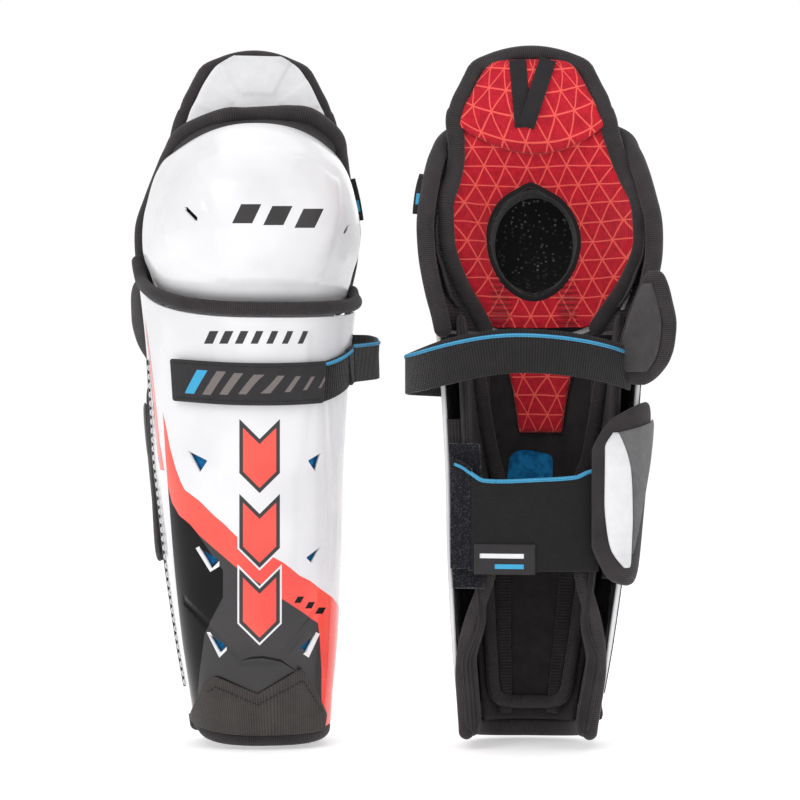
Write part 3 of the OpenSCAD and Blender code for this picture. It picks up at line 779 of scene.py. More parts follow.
def speckled(name, colour, dark, size=1.5, depth=0.0004, rough=0.8, fleck=None):
    """Open mesh or fuzzy loop cloth."""
    f = Finish(name, rough, sheen=0.2, specular=0.3)
    n = f.node("ShaderNodeTexVoronoi")
    n.inputs["Scale"].default_value = 1000 / size
    c = f.node("ShaderNodeTexCoord")
    f.t.links.new(c.outputs["Object"], n.inputs["Vector"])
    hole = f.step(n.outputs["Distance"], 0.1, 0.55)
    col = f.mix(hole, colour, dark)
    # light dots in the cells' middles: on the black mesh they are painted highlights where its threads catch
    # the light; on the loop cloth they are slightly lighter, bluer dots
    if fleck is not None:
        spot = f.calc("SUBTRACT", 1.0, f.step(n.outputs["Distance"], 0.16, 0.34))
        col = f.mix(f.calc("MULTIPLY", spot, f.step(f.noise(60.0, 3.0, 0.6), 0.35, 0.65)), col, fleck)
    f.colour(col)
    f.bump(f.calc("SUBTRACT", 1.0, hole), depth, 0.8)
    return f.m


def foam(name, colour, dark):
    """Closed-cell foam."""
    f = Finish(name, 0.95, specular=0.15)
    cell = f.noise(1000.0, kind="ShaderNodeTexVoronoi")
    f.colour(f.mix(f.step(f.noise(220.0, 4.0, 0.7), 0.35, 0.65), dark, colour))
    f.bump(cell, 0.0004, 0.6)
    return f.m


M = {
    "white": moulded("white_shell", rgb(232, 231, 233), rgb(223, 222, 225), 0.2, 0.25),
    "red": moulded("red_print", rgb(250, 78, 62), rgb(238, 62, 50), 0.2, 0.4),
    "black": moulded("black_print", rgb(9, 8, 9), rgb(20, 18, 19), 0.1, 0.1, 0.12),
    "charcoal": moulded("charcoal_print", rgb(44, 41, 43), rgb(33, 31, 33), 0.3, 0.1),
    "binding": ribbed("black_binding", rgb(64, 59, 61), rgb(32, 30, 31), sheen=0.12),
    "padding": woven("black_padding", rgb(56, 52, 54), rgb(24, 22, 23), 1.0, sheen=0.1),
    "lining": ribbed("black_lining", rgb(54, 50, 52), rgb(24, 22, 23), 1.7, 1.0, sheen=0.1, depth=0.0004),
    "toe": ribbed("toe_fabric", rgb(76, 72, 70), rgb(46, 43, 42), 1.3, 1.0, sheen=0.12, depth=0.00025),
    "red_liner": lattice("red_liner", rgb(218, 32, 52), rgb(154, 10, 30), rgb(255, 104, 92)),
    "webbing": webbing("black_webbing", rgb(44, 41, 43), rgb(10, 9, 10)),
    "elastic": woven("black_elastic", rgb(50, 47, 49), rgb(16, 15, 16), 1.5, depth=0.00035, mottled=0.2),
    "tape": ribbed("black_tape", rgb(48, 46, 48), rgb(32, 30, 32), 0.9, 0.7, sheen=0.08, depth=0.0001),
    "patch": woven("black_patch", rgb(52, 50, 52), rgb(34, 32, 34), 0.8, depth=0.0001, rough=0.6),
    # its light grey dots are painted highlights on the mesh threads
    "mesh": speckled("black_mesh", rgb(20, 19, 20), rgb(3, 3, 3), 2.6, fleck=rgb(118, 120, 122)),
    "loop": speckled("loop_fabric", rgb(42, 42, 52), rgb(14, 14, 20), 1.2, 0.0006, 0.95,
                     fleck=rgb(46, 48, 62)),
    "white_cloth": woven("white_fabric", rgb(248, 248, 249), rgb(226, 226, 229), 1.1, depth=0.0002,
                         rough=0.6, slant=1.0),
    "grey_cloth": woven("grey_fabric", rgb(122, 121, 122), rgb(82, 81, 82), 1.2, depth=0.00025),
    "insert": woven("charcoal_fabric", rgb(80, 77, 78), rgb(52, 50, 51), 1.1, depth=0.0003),
    "blue_foam": foam("blue_foam", rgb(36, 134, 194), rgb(22, 96, 150)),
    "grey_foam": foam("grey_foam", rgb(58, 56, 58), rgb(36, 34, 36)),
    "braid": woven("blue_braid", rgb(130, 226, 252), rgb(48, 150, 204), 1.5, sheen=0.1, depth=0.0005,
                   rough=0.6,
                   mottled=0.2, slant=1.0),
    "blue_print": woven("blue_print", rgb(70, 178, 222), rgb(60, 160, 204), 0.8, depth=0.0001, rough=0.6,
                        mottled=0.3),
    "grey_print": woven("grey_print", rgb(132, 124, 122), rgb(112, 105, 104), 0.8, depth=0.0001, rough=0.6,
                        mottled=0.3),
    "thread": ribbed("black_thread", rgb(34, 31, 32), rgb(16, 15, 16), 0.8, 0.5, depth=0.0001),
    "white_thread": ribbed("white_thread", rgb(232, 232, 232), rgb(196, 196, 198), 0.8, 0.5, depth=0.0001),
}


# ---- pieces of one guard ----------------------------------------------------------------------------

SHELL = 88.0        # flat millimetres for each unit of s round the shell
CAP = 74.0          # the same for the knee cap
CAP_TOP = 337.5     # the cap's upper edge


def grown(flat, polygon, width):
    """0 outside a polygon to 1 inside it, turning over width."""
    d = distance(flat, polygon)
    return np.clip(0.5 + np.where(inside(flat, polygon), d, -d) / width, 0, 1)


def rise_of(t):
    """A smooth step from 0 to 1."""
    return t * t * (3 - 2 * t)


# Creases and raised panels, as seen from the front on guard a, in millimetres
SHELL_PANEL = [(-102, 226), (-102, 187), (-100, 155), (-97, 135), (-95, 110), (-92, 80), (-88, 50),
               (-63, 50), (-60, 80), (-57, 118), (-57, 146), (-54, 156), (-50, 187), (-50, 226)]
SHELL_CREASES = [[(-118, 78), (-104, 64), (-88, 48)], [(-44, 74), (-53, 62), (-63, 50)],
                 [(-87, 45), (-78, 46), (-63, 45), (-55, 40)], [(-41, 187), (-39, 135), (-40, 86)],
                 [(-37, 187), (-35, 135), (-37, 90)]]
CAP_PANELS = [[(-114, 318), (-90, 330), (-52, 322), (-33, 308), (-32, 290), (-40, 262), (-46, 252),
               (-92, 252),
               (-98, 275), (-106, 300)],
              [(-131, 300), (-124, 309), (-116, 316), (-110, 306), (-103, 284), (-97, 262), (-96, 254),
               (-110, 258),
               (-122, 266), (-130, 280)]]


def on_shell(points):
    """Points of the front view on the shell, in its flat coordinates."""
    return seen_from_front(shin, points, SHELL)


def on_cap(points):
    """Points of the front view on the knee cap, in its flat coordinates."""
    return seen_from_front(cap, points, CAP)


shell_panel = on_shell(dense(SHELL_PANEL, 6))
shell_creases = [on_shell(dense(c, 6, False)) for c in SHELL_CREASES]
cap_panels = [on_cap(dense(p, 6)) for p in CAP_PANELS]


def outward(s):
    """The direction a shell faces, seen from above."""
    turn = np.radians(90 * np.minimum(1, np.abs(s) / BEND))
    return np.stack([np.sign(s) * np.sin(turn), -np.cos(turn), 0 * s], -1)


def shell_surface(u, v, inset=0.0):
    """The shell with its raised panel and pressed creases."""
    s = np.clip(u / SHELL, -1.0, 1.0)
    flat = np.stack([u, v], -1)
    lift = 0.7 * rise_of(grown(flat, shell_panel, 5.0))
    for c in shell_creases:
        lift = lift - 0.8 * np.exp(-(distance(flat, c, False) / 1.5) ** 2)
    return shin(s, v, inset) + lift[:, None] * outward(s)


def cap_surface(u, v, inset=0.0):
    """The knee cap with its raised panels and turned edge."""
    s = np.clip(u / CAP, -1.0, 1.0)
    flat = np.stack([u, v], -1)
    lift = 1.3 * rise_of(grown(flat, cap_panels[0], 5.0)) + 0.8 * rise_of(grown(flat, cap_panels[1], 3.5))
    edge = 1 - np.clip((np.minimum(v - 222, CAP_TOP - v)) / 9, 0, 1)
    lift = lift + 0.5 * edge ** 2
    return cap(s, v, inset) + (lift - 0.9)[:, None] * outward(s * BEND)


# The shell's finishes, in the order of its material slots
WHITE, RED, BLACK, CHARCOAL = range(4)
# Where the print changes colour, and the vents, as seen from the front on guard a, in millimetres
RED_TOP = [(-130, 182), (-128, 173), (-126, 162), (-123, 151), (-120, 143), (-118, 139), (-110, 133),
           (-102, 125), (-96, 120), (-89, 113), (-64, 99), (-60, 96), (-55, 92), (-49, 89), (-44, 85),
           (-37, 80)]
RED_LOW = [(-128, 151), (-127, 140), (-125, 132), (-121, 125), (-115, 120), (-110, 114), (-102, 107),
           (-95, 101), (-89, 96), (-66, 80), (-55, 73), (-45, 66)]
VENTS = [[(-116, 160), (-106, 155), (-110, 149)], [(-110, 107), (-100, 101), (-104, 97)],
         [(-105, 60), (-96, 54), (-99, 50)],
         [(-43, 159), (-50, 155), (-46, 149)], [(-43, 108), (-51, 102), (-48, 99)],
         [(-46, 60), (-54, 53), (-51, 50)]]


def chevron(left, right, top, drop, thick, grow):
    """A V-shaped stripe, made wider all round by grow."""
    mid = (left + right) / 2
    slope = drop / (mid - left)
    g = grow * math.sqrt(1 + slope * slope)
    l, r = left - grow, right + grow
    return [(l, top + g + slope * grow), (mid, top - drop + g), (r, top + g + slope * grow),
            (r, top - thick - g + slope * grow), (mid, top - thick - drop - g),
            (l, top - thick - g + slope * grow)]


def bar(x, z, width, height, slant):
    """A slanted bar."""
    return [(x, z), (x + width, z), (x + width + slant, z + height), (x + slant, z + height)]


def foot_rise(s):
    """How much higher the foot end's lower edge is at its sides than at the front."""
    return 5.5 * np.clip(np.abs(s) / BEND, 0, 1) ** 2.5


def beside(line, gap):
    """A polyline and its copies on both sides of it."""
    line = dense(line, 2.5, False)
    run = unit(np.gradient(line, axis=0))
    off = np.stack([-run[:, 1], run[:, 0]], -1) * gap
    return [line, line + off, line - off]


def enlarged(outline, times):
    """An outline scaled about its middle."""
    outline = np.asarray(outline, float)
    return outline.mean(0) + (outline - outline.mean(0)) * times


def hard_shell(g):
    """The printed shin shell with its vents."""
    v = np.arange(15.0, 232.0, 3.0)
    cols = np.linspace(-1, 1, 71)
    top = [(s * SHELL, float(collar_edge(s))) for s in cols]
    outline = [(s * SHELL, 9.0 + float(foot_rise(s))) for s in cols]
    outline += [(SHELL, z) for z in v[1:]] + top[::-1] + [(-SHELL, z) for z in v[:0:-1]]
    lines = [line for c in shell_creases for line in beside(c, 1.6)]
    vents = [rounded(on_shell(rounded(enlarged(p, 1.16), 1.1)), 0.5, parts=1) for p in VENTS]
    low = 6.0
    edge = on_shell(dense(RED_LOW, 3, False))
    flank = [[-0.75 * SHELL, low], [-0.68 * SHELL, 60.0], [-0.62 * SHELL, 110]]
    strip = [(-43, 8), (-43, 25), (-43, 40), (-44, 58)]
    black = np.concatenate([edge, on_shell(strip[::-1]), [[40.0, low]], flank])
    band = np.concatenate([on_shell(dense(RED_TOP, 3, False)),
                           [[0.66 * SHELL, 72.0], [0.6 * SHELL, 50.0], [0.56 * SHELL, 28.0],
                            [0.56 * SHELL, low]], on_shell(strip), edge[::-1]])
    sliver = [(-0.86 * SHELL, 232.0), (-0.80 * SHELL, 232.0), (-0.70 * SHELL, 190.0),
              (-0.66 * SHELL, 165.0), (-0.62 * SHELL, 150.0), (-0.70 * SHELL, 150.0),
              (-0.78 * SHELL, 180.0), (-0.84 * SHELL, 205.0)]
    far = [(0.86 * SHELL, low), (0.86 * SHELL, 92.0), (0.9 * SHELL, 96.0), (0.9 * SHELL, low)]
    dark = np.concatenate([edge[:len(edge) // 3], on_shell([(-97, 95), (-97, 80), (-107, 60), (-111, 25)]),
                           flank])
    # a thin black line along the crease above the toe: painted shade in the crease
    crease_shade = [(-88, 45), (-82, 47.4), (-75, 48), (-65, 46), (-55, 38.6), (-65, 44.6), (-75, 46.6), (-82, 46.2)]
    paint = [(black, CHARCOAL), (dark, BLACK), (on_shell(dense(crease_shade, 2)), BLACK), (band, RED),
             (sliver, RED), (far, RED)]
    for rim in ([(-112, 107), (-110, 108), (-103, 96), (-99, 100), (-99, 97), (-104, 94)],
                [(-106, 61), (-104, 61), (-98, 50), (-95, 53), (-95, 51), (-99, 47)],
                [(-46, 61), (-44, 60), (-50, 47), (-53, 49), (-51, 51)]):
        paint.append((on_shell(dense(rim, 3)), WHITE))
    for top_z in (173, 132, 91):
        for k, grow in ((WHITE, 3.0), (CHARCOAL, 2.0), (RED, 0.0)):
            shape = chevron(-86.0, -68.0, top_z, 9.0, 24.0, grow)
            paint.append((on_shell(dense(shape, 3)), k))
    for k in range(7):
        paint.append((on_shell(dense(bar(-107.5 + 8.5 * k, 219, 5.0 - 0.35 * k, 7.0, 3.2), 3)), CHARCOAL))
    for k in range(3):
        paint.append((on_shell(dense(bar(-58 + 6 * k, 77 - 3 * k, 3.5, 3.5, 2), 3)), BLACK))
    prints = [M["white"], M["red"], M["black"], M["charcoal"]]
    return sheet_piece(f"{g}_hard_shell", g, shell_surface, outline, 2.6, prints, paint, vents, lines,
                       grid=2.6, back=WHITE, round_out=0.14)


def hard_cap(g):
    """The knee cap with its two slots and three bars."""
    rows = np.append(np.arange(222.0, 336.1, 3.0), CAP_TOP)
    cols = np.linspace(-1, 1, 61)
    outline = [(s * CAP, 222.0) for s in cols] + [(CAP, z) for z in rows[1:]] + [(s * CAP, CAP_TOP)
                                                                                 for s in cols[::-1][1:]]
    outline += [(-CAP, z) for z in rows[-2:0:-1]]
    slots = [on_cap(dense(p, 2))
             for p in ([(-118.3, 294.2), (-116.8, 294.4), (-111, 288.6), (-111, 286.4), (-112.6, 286),
                        (-118.4, 291.8)],
                       [(-26.4, 284.6), (-28.2, 284), (-30.4, 279.6), (-28.8, 278.6), (-27, 281)])]
    paint = []
    for x, z in ((-92, 285), (-75, 284), (-58, 282.5)):
        paint.append((on_cap(dense(bar(x, z, 11, 10.5, 5), 2.5)), 1))
    return sheet_piece(f"{g}_hard_knee_cap", g, cap_surface, outline, 2.6, [M["white"], M["charcoal"]],
                       paint, slots, grid=2.6, round_out=0.2)


def strap_shape(thick, high, corner=0.45):
    """The section of a flat strap: half sizes thick and high, with rounded edges."""
    r = min(thick, corner)
    pts = []
    for cx, cy, a0 in ((thick - r, high - r, 0), (-(thick - r), high - r, 90),
                       (-(thick - r), -(high - r), 180), (thick - r, -(high - r), 270)):
        for a in (0, 45, 90):
            w = math.radians(a0 + a)
            pts.append((cx + r * math.cos(w), cy + r * math.sin(w)))
    out = []
    for i, p in enumerate(pts):
        q = pts[(i + 1) % len(pts)]
        out.append(p)
        if math.dist(p, q) > 3 * r:
            for t in (0.06, 0.35, 0.65, 0.94):
                out.append((p[0] + (q[0] - p[0]) * t, p[1] + (q[1] - p[1]) * t))
    return np.array(out)


def strap_piece(name, guard, path, up, thick, high, material, corner=0.45, step=1.6, bulge=None,
                taller=None):
    """A flat strap along a path: thick and high are its half sizes; taller scales the height along it."""
    path = smooth_path(path, step)
    _, side, rise = frames_along(path, up)
    shape = strap_shape(thick, high, corner)
    n, m = len(path), len(shape)
    grow = np.ones(n) if taller is None else np.interp(np.linspace(0, 1, n), *taller)
    pts = (path[:, None] + shape[None, :, 0, None] * side[:, None]
           + (shape[None, :, 1] * grow[:, None])[..., None] * rise[:, None])
    if bulge is not None:
        pts = bulge(pts)
    run = lengths(path)
    faces = []
    for i in range(n - 1):
        j = i + 1
        faces += [(i * m + k, i * m + (k + 1) % m, j * m + (k + 1) % m, j * m + k) for k in range(m)]
    faces += [tuple(range(m - 1, -1, -1)), tuple((n - 1) * m + k for k in range(m))]
    uv = np.stack(np.broadcast_arrays(run[:, None], shape[None, :, 1]), -1).reshape(-1, 2)
    return finish_mesh(name, guard, pts.reshape(-1, 3), faces, None, uv, None, [material])


# ---- edges that the knee, its liner and the thigh flap share ----------------------------------------

# The two guards' soft edges have settled differently: guard a's flap is slimmer and its knee rim is drawn in.
slim = {"a": table((333, 1), (346, 0.955), (365, 0.94), (374, 0.90), (383, 0.86)),
        "b": table((333, 1), (383, 1))}
aside = {"a": table((326, 0), (344, 0.8)), "b": table((326, 0), (344, 2.4))}
rim_half = {
    "a": table((236, 51), (245, 54.5), (258, 58), (270, 60), (284, 60.5), (297, 58.5), (312, 55.5),
               (323, 52.3),
               (333, 46.5), (342, 36)),
    "b": table((222, 51.5), (236, 54.5), (245, 57), (258, 59.7), (270, 61.3), (284, 61.5), (297, 59.5),
               (312, 56.5), (323, 53), (333, 47), (342, 36.5)),
}
pulled = table((236, 1.5), (256, 3.8), (280, 3.6), (300, 5), (320, 6.2), (335, 5.6), (342, 3))
drawn_in = table((284, 0), (298, 2.2), (312, 4.6), (323, 5.2), (333, 4.2), (342, 1))
rim_y = table((236, 20), (284, 17.5), (298, 13), (312, 3.8), (323, -5.2), (333, -16), (342, -22))
RIM_HEIGHTS = {
    "a": np.array([236, 245, 256, 268, 284, 298, 312, 323, 333, 340.0]),
    "b": np.array([222, 229, 236, 245, 256, 268, 284, 298, 312, 323, 333, 340.0]),
}
spare = table((226, 0), (245, 2.5), (272, 4.2), (298, 4.2), (320, 2.0), (334, 0))
behind = table((228, 1.5), (328, 1.5), (344, 3.0))
HOLE_TURN = np.linspace(0, 2 * math.pi, 49)[:-1]    # round the kneecap's hole
HOLE_X, HOLE_Z = 3.6, 275.5                         # its middle


def flap_half(g, z):
    """Half the width of the liner and the flap above it."""
    return liner_half_w(z) * slim[g](z)


def across(g, z):
    """How far the flap's middle stands to the inner side."""
    return shift_of(z) + aside[g](z)


def rim_w(g, z, side=1):
    """Half the width of the knee's rim on one side."""
    if g == "b":
        return rim_half[g](z)
    return rim_half[g](z) - (pulled(z) if side < 0 else drawn_in(z))


def wide(g, z, side):
    """How much further the liner of guard b spreads on the outer side."""
    return spare(z) if g == "b" and side < 0 else 0 * np.asarray(z, float)


def binding_path(g, side, heights):
    """The binding's middle line along one side of the liner."""
    x = side * (flap_half(g, heights) - 4.0)
    return np.stack([x + side * wide(g, heights, side) + across(g, heights),
                     leg_y(x, heights) - behind(heights), heights], -1)


def helpers(g):
    """put, which places a piece of guard g on a body and says what it replaces, and name, which names it."""
    def put(ob, body, *nodes, slot=None, fill=None):
        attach(ob, f"{g}_{body}")
        if nodes:
            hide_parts(*[f"{g}_{n}" for n in nodes])
        return ob

    def name(part):
        return f"{g}_{part}"

    return put, name


def shell_and_trim(g):
    """The hard shell, the layers against it and its sewn edges."""
    put, name = helpers(g)
    put(hard_shell(g), "guard", "shin_shell", slot="white_shell")

    foam_u = lambda u, v, i: shin(u * 0.7, 118 + 98 * v, i)
    put(pad_piece(name("blue_foam_layer"), g, *layers(foam_u, 3.6, 8.2), (120, 196),
                  [M["blue_foam"], M["padding"]], (28, 24), 30, 40, painted=lambda u,
                  v: int(abs(u) > 0.69)), "guard", "shell_foam", slot="blue_foam", fill=0.9)
    # black lining over the foam, with a window that shows it
    window = rounded([(-6, 141), (-5.5, 158), (8, 161.5), (15.5, 158), (17.5, 141)], 4)
    edge = [(-41, 139.5), (41, 139.5), (40, 224), (-40, 224)]
    put(sheet_piece(name("inner_lining"), g, lambda u, v, i=0.0: shin(u / SHELL, v, i + 8.3),
                    dense(edge, 4), 0.9, [M["padding"]], (), [window], grid=4.0), "guard",
        slot="black_padding")

    s = np.linspace(-1, 1, 40)
    path = shin(s, collar_edge(s) + 4.7 + 1.2 * s ** 2, 0.3)
    path[:, 2] += 0.3
    put(roll_piece(name("collar_binding"), g, [path], 3.5, 3.7, (0, 0, 1), M["binding"], 20), "guard",
        "collar_roll", slot="black_binding", fill=0.9)

    # the padded toe cover, with its stitched upper edge
    toe_line = [(-115.5, 15.5), (-107.5, 33), (-102, 36), (-78, 26), (-54, 40), (-48.5, 34), (-40, 16)]
    cover = lambda u, v, inset=0.0: shin(np.clip(u / SHELL, -1, 1), v, inset - 2.4)
    top = seen_from_front(lambda s, z: shin(s, z, -2.4), rounded(dense(toe_line, 8, False), 2, False),
                          SHELL)
    low = [(x, 8.4 + 0.0013 * x * x) for x in np.linspace(top[-1, 0] - 1.5, top[0, 0] + 1.5, 30)]
    outline = np.concatenate([top, low])
    put(sheet_piece(name("toe_cover_cloth"), g, cover, outline, 1.6, [M["toe"]], grid=2.6), "guard",
        "toe_cover", slot="toe_fabric", fill=0.8)
    seam = [(-106, 28), (-101, 31), (-78, 21), (-53, 34.5), (-49, 28), (-42, 17)]
    line = seen_from_front(lambda s, z: shin(s, z, -2.6), dense(seam, 3, False), SHELL)
    line3 = shin(line[:, 0] / SHELL, line[:, 1], -2.55)
    put(stitch_piece(name("toe_stitching"), g, [(line3, outward(line[:, 0] / SHELL))], M["thread"], 2.6,
                     2.0, 0.55), "guard", slot="black_binding")

    rim = np.linspace(-1, 1, 60)
    path = shin(rim, np.full(60, 4.6), 5.6)
    path[:, 2] = 6.0 + foot_rise(rim) * 0.8
    put(roll_piece(name("foot_end_roll"), g, [path], 5.2, 4.8, (0, 0, 1), M["binding"], 20, square=0.8),
        "guard", "bottom_roll", slot="black_binding", fill=0.9)

    # the binding and the stitches that hold the shell's outer edge to the padding
    z = np.linspace(30, 210, 50)
    edge = shin(np.full(50, -0.94), z, -0.3)
    put(strap_piece(name("side_seam_tape"), g, edge, (1, 0, 0), 2.8, 0.4, M["thread"], 0.35), "guard",
        slot="black_binding")
    row = (shin(np.full(50, -0.90), z, -0.2), (-1, -0.3, 0))
    put(stitch_piece(name("side_seam_stitches"), g, [row], M["white_thread"], 5.0, 3.4, 1.1), "guard",
        slot="white_fabric")


def shell_padding(g):
    """The padding inside the shell, its rolled edges and the red tail."""
    put, name = helpers(g)
    start = table((10, 0.86), (45, 0.84), (70, 0.62), (92, 0.5), (139, 0.46), (152, 0.36), (214, 0.32))
    layer = table((10, 3.6), (45, 3.6), (70, 14), (139, 14), (152, 9.2), (214, 9.2))
    thick = table((10, 9), (45, 9), (70, 5), (214, 6))
    for side, part in SIDES:
        def face(u, v, extra, side=side):
            z = 111.8 + 102.3 * v
            s = start(z) + (1 - start(z)) * (u * side + 1) / 2
            p = shin(side * s, z, layer(z) + extra * thick(z))
            p[..., 2] += 21 * np.clip((z - 150) / 64, 0, 1) ** 2 * rise_of(np.clip((s - 0.5) / 0.25, 0, 1))
            p[..., 1] += 8 * np.maximum(0, s - 0.8) / 0.2
            return p
        put(pad_piece(name(f"side_padding_{part}"), g, *layers(face, 0.0, 1.0), (60, 204), [M["lining"]],
                      (16, 60), 8, 60), "guard", f"side_liner_{part}", slot="black_padding", fill=0.7)
        for k, (z0, z1) in enumerate(((92, 178), (206, 224))):
            def closing(u, v, lift, side=side, z0=z0, z1=z1):
                z = (z0 + z1) / 2 + v * (z1 - z0) / 2
                p = shin(side * np.ones_like(z), z, 6.8 + 4.2 * u * side * -1)
                p[..., 1] += lift
                return p
            put(pad_piece(name(f"edge_cloth_{part}_{k}"), g, *layers(closing, 0.2, 2.6), (8, z1 - z0),
                          [M["lining"]], (6, 30), 8, 40), "guard", slot="black_padding", fill=0.4)
        # rolled edges of the side padding, above and below the lower strap
        zs = np.array([208, 190, 172, 156, 142, 120, 100.0])
        ss = np.array([0.56, 0.52, 0.46, 0.40, 0.40, 0.46, 0.50])
        upper = shin(side * ss, zs, layer(zs) + thick(zs) + 2.2)
        zs = np.array([98, 84, 70, 56, 42, 26, 12, 4.7])
        xs = np.array([24, 28, 32.5, 35.5, 36.5, 35, 33.5, 33.0])
        ys = np.array([21, 21, 20, 19, 18, 17, 16, 16.0])
        lower = np.stack([side * xs + lean(zs), ys, zs], -1)
        put(roll_piece(name(f"side_roll_{part}"), g, [upper, lower], 4.2, 4.4, (0, 1, 0), M["binding"]),
            "guard", slot="black_binding", fill=0.85)

    fan = lambda u, v, i: shin(u * 0.56, 74.5 + 63.5 * v, i)
    put(pad_piece(name("lower_lining"), g, *layers(fan, 9.1, 13), (86, 127), [M["padding"]], (24, 24), 20,
                  30), "guard", "lower_liner", slot="black_padding", fill=0.6)
    for side, part in SIDES:
        rib = lambda u, v, i, side=side: shin(side * 0.28 + 0.09 * u, 74.5 + 59.5 * v, i)
        ob = pad_piece(name(f"ribbed_strip_{part}"), g, *layers(rib, 13.4, 18.2), lengthways(59.5, 7),
                       [M["lining"]], (10, 40), 6, 30)
        put(ob, "guard", *(["foam_ribs"] if side > 0 else []), slot="grey_foam", fill=0.8)
    # the rolled edge of the lower lining: down one side, round the foot end and up the other
    half = [(0.50, z, 17.0) for z in (100, 80, 60, 42, 30)] + [(0.42, 24.0, 17.0), (0.25, 21.5, 16.5)]
    u_path = [shin(across, z, inset) for across, z, inset in half + [(0.0, 21.0, 16.0)]]
    u_path += [shin(-across, z, inset) for across, z, inset in half[::-1]]
    put(roll_piece(name("lower_lining_roll"), g, [np.array(u_path)], 3.4, 3.6, (0, 1, 0), M["binding"]),
        "guard", slot="black_binding", fill=0.85)

    tail_w = table((170, 0.12), (200, 0.17), (216, 0.24))
    tail = lambda u, v, i: shin(u * tail_w(193 + 23 * v), 193 + 23 * v, i)
    put(pad_piece(name("red_tail"), g, *layers(tail, 9.6, 13.8), shifted(16, 0, 23, 193), [M["red_liner"]],
                  (12, 14), 10, 14), "guard", "liner_tail", slot="red_liner", fill=0.5)

    def loop(u, v, lift):
        z = 126 + 39 * v
        p = shin(np.ones_like(z), z, 3.6)
        return np.stack([p[..., 0] + 1 - 8.5 * (1 - u), back_y(z) + 8 + lift, z], -1)
    put(pad_piece(name("loop_panel"), g, *layers(loop, 0.4, 2.0), (17, 81), [M["loop"]], (8, 24), 12, 30),
        "guard", "loop_patch", slot="loop_fabric", fill=0.2)


STRAP_Z = 200.0                     # the upper strap's height
LOOP_X, LOOP_Y = 10.3, 8            # the middle of its loop round the leg
LOOP_ACROSS, LOOP_DEEP = 61.1, 50   # the loop's half sizes


def upper_strap(g):
    """The loop round the leg and the tab with the badge across the shell."""
    put, name = helpers(g)
    spec = GUARDS[g]
    rise = table(*zip((-40, 20, 90, 180), spec["rise"]))

    def plan(t, out):
        a = np.radians(t)
        return np.stack([LOOP_X + (LOOP_ACROSS + out) * np.cos(a), LOOP_Y + (LOOP_DEEP + out) * np.sin(a),
                         STRAP_Z + rise(t)], -1)
    
    first = shin(np.array(0.565), np.array(spec["strap_from"]), -1.6)[None]
    path = np.concatenate([first + [0.8, -0.6, 0], plan(np.linspace(-16, spec["strap_end"], 26), 1.0)])
    put(strap_piece(name("upper_strap_webbing"), g, path, (0, 0, 1), 1.0, 12.0, M["webbing"],
                    taller=([0, 0.2, 0.45, 1], [0.84, 0.86, 1, 0.92])), "guard", "upper_strap",
        slot="black_webbing")
    whole = smooth_path(path, 1.6)
    t, side, up = frames_along(whole, (0, 0, 1))
    offset = np.interp(np.linspace(0, 1, len(whole)), [0, 0.25, 0.5, 1], [9.6, 9.6, 8.6, 7.6])[:, None]
    put(roll_piece(name("upper_strap_edge"), g, [whole + up * offset * np.sign(up[:, 2:3]) + side * 1.0],
                   0.6, 1.0, (0, 0, 1), M["braid"], 10), "guard", slot="grey_fabric")
    # the webbing between the badge's strap and the loop round the leg
    tail_up = lambda s: spec["tab_lift"] * np.clip((s - 0.26) / 0.3, 0, 1) ** 1.4
    s = np.linspace(0.5, 0.60, 8)
    path = shin(s, STRAP_Z + tail_up(s), -2.4)
    ob = strap_piece(name("upper_strap_join"), g, path, (0, 0, 1), 0.95, 10.1, M["webbing"])
    [tuple(float(c) for c in placed(p, g)) for p in (path[1], path[-1])]
    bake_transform(ob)

    dip = lambda s: -0.8 - 2.8 * np.cos(np.clip(np.abs(s) / 0.55, 0, 1) * math.pi / 2) ** 2 + tail_up(s)

    def band(lift):
        def at(u, v, inset=0.0):
            s = u / SHELL
            p = shin(s, v, inset - lift)
            p[..., 2] += dip(s)
            return p
        return at
    tab, patch = band(2.9), band(4.4)
    us = np.linspace(-0.41, 0.53, 40) * SHELL
    outline = [(u, 190.0) for u in us] + [(u, 210.0) for u in us[::-1]]
    put(sheet_piece(name("strap_tab_webbing"), g, tab, dense(outline, 3), 2.0, [M["webbing"]], grid=3.5),
        "strap_tab", "strap_tab", slot="black_webbing")
    s = np.linspace(0.28, 0.53, 16)
    edge = tab(s * SHELL, np.full(16, 209.4), -0.6)
    put(roll_piece(name("strap_tab_edge"), g, [edge], 0.6, 1.0, (0, 0, 1), M["braid"], 10), "strap_tab",
        slot="grey_fabric")
    us = np.linspace(-0.43, 0.27, 34) * SHELL
    outline = rounded([(us[0], 189.4), (us[-1], 189.4), (us[-1], 210.9), (us[0], 210.9)], 1.0)
    paint = []
    u0 = us[0] + 7
    paint.append((dense(bar(u0, 193.5, 4.6, 13.0, 6.5), 3), 1))
    for k in range(8):
        cut = 0.6 * k
        paint.append((dense(bar(u0 + 8.4 + 7.2 * k, 193.5 + cut, 3.6 - 0.38 * k, 13.0 - 2 * cut,
                                6.5 - cut), 3), 2))
    put(sheet_piece(name("strap_badge"), g, patch, dense(outline, 3), 1.2,
                    [M["patch"], M["blue_print"], M["grey_print"]], paint, grid=3.0), "strap_tab",
        "strap_patch", slot="black_rubber")
    rows = []
    for z in (190.9, 209.4):
        u = np.linspace(us[0] + 1.5, us[-1] - 1.5, 40)
        rows.append((patch(u, np.full(40, z), -0.1), outward(u / SHELL)))
    put(stitch_piece(name("badge_stitching"), g, rows, M["thread"], 2.2, 1.6, 0.45), "strap_tab",
        slot="black_rubber")


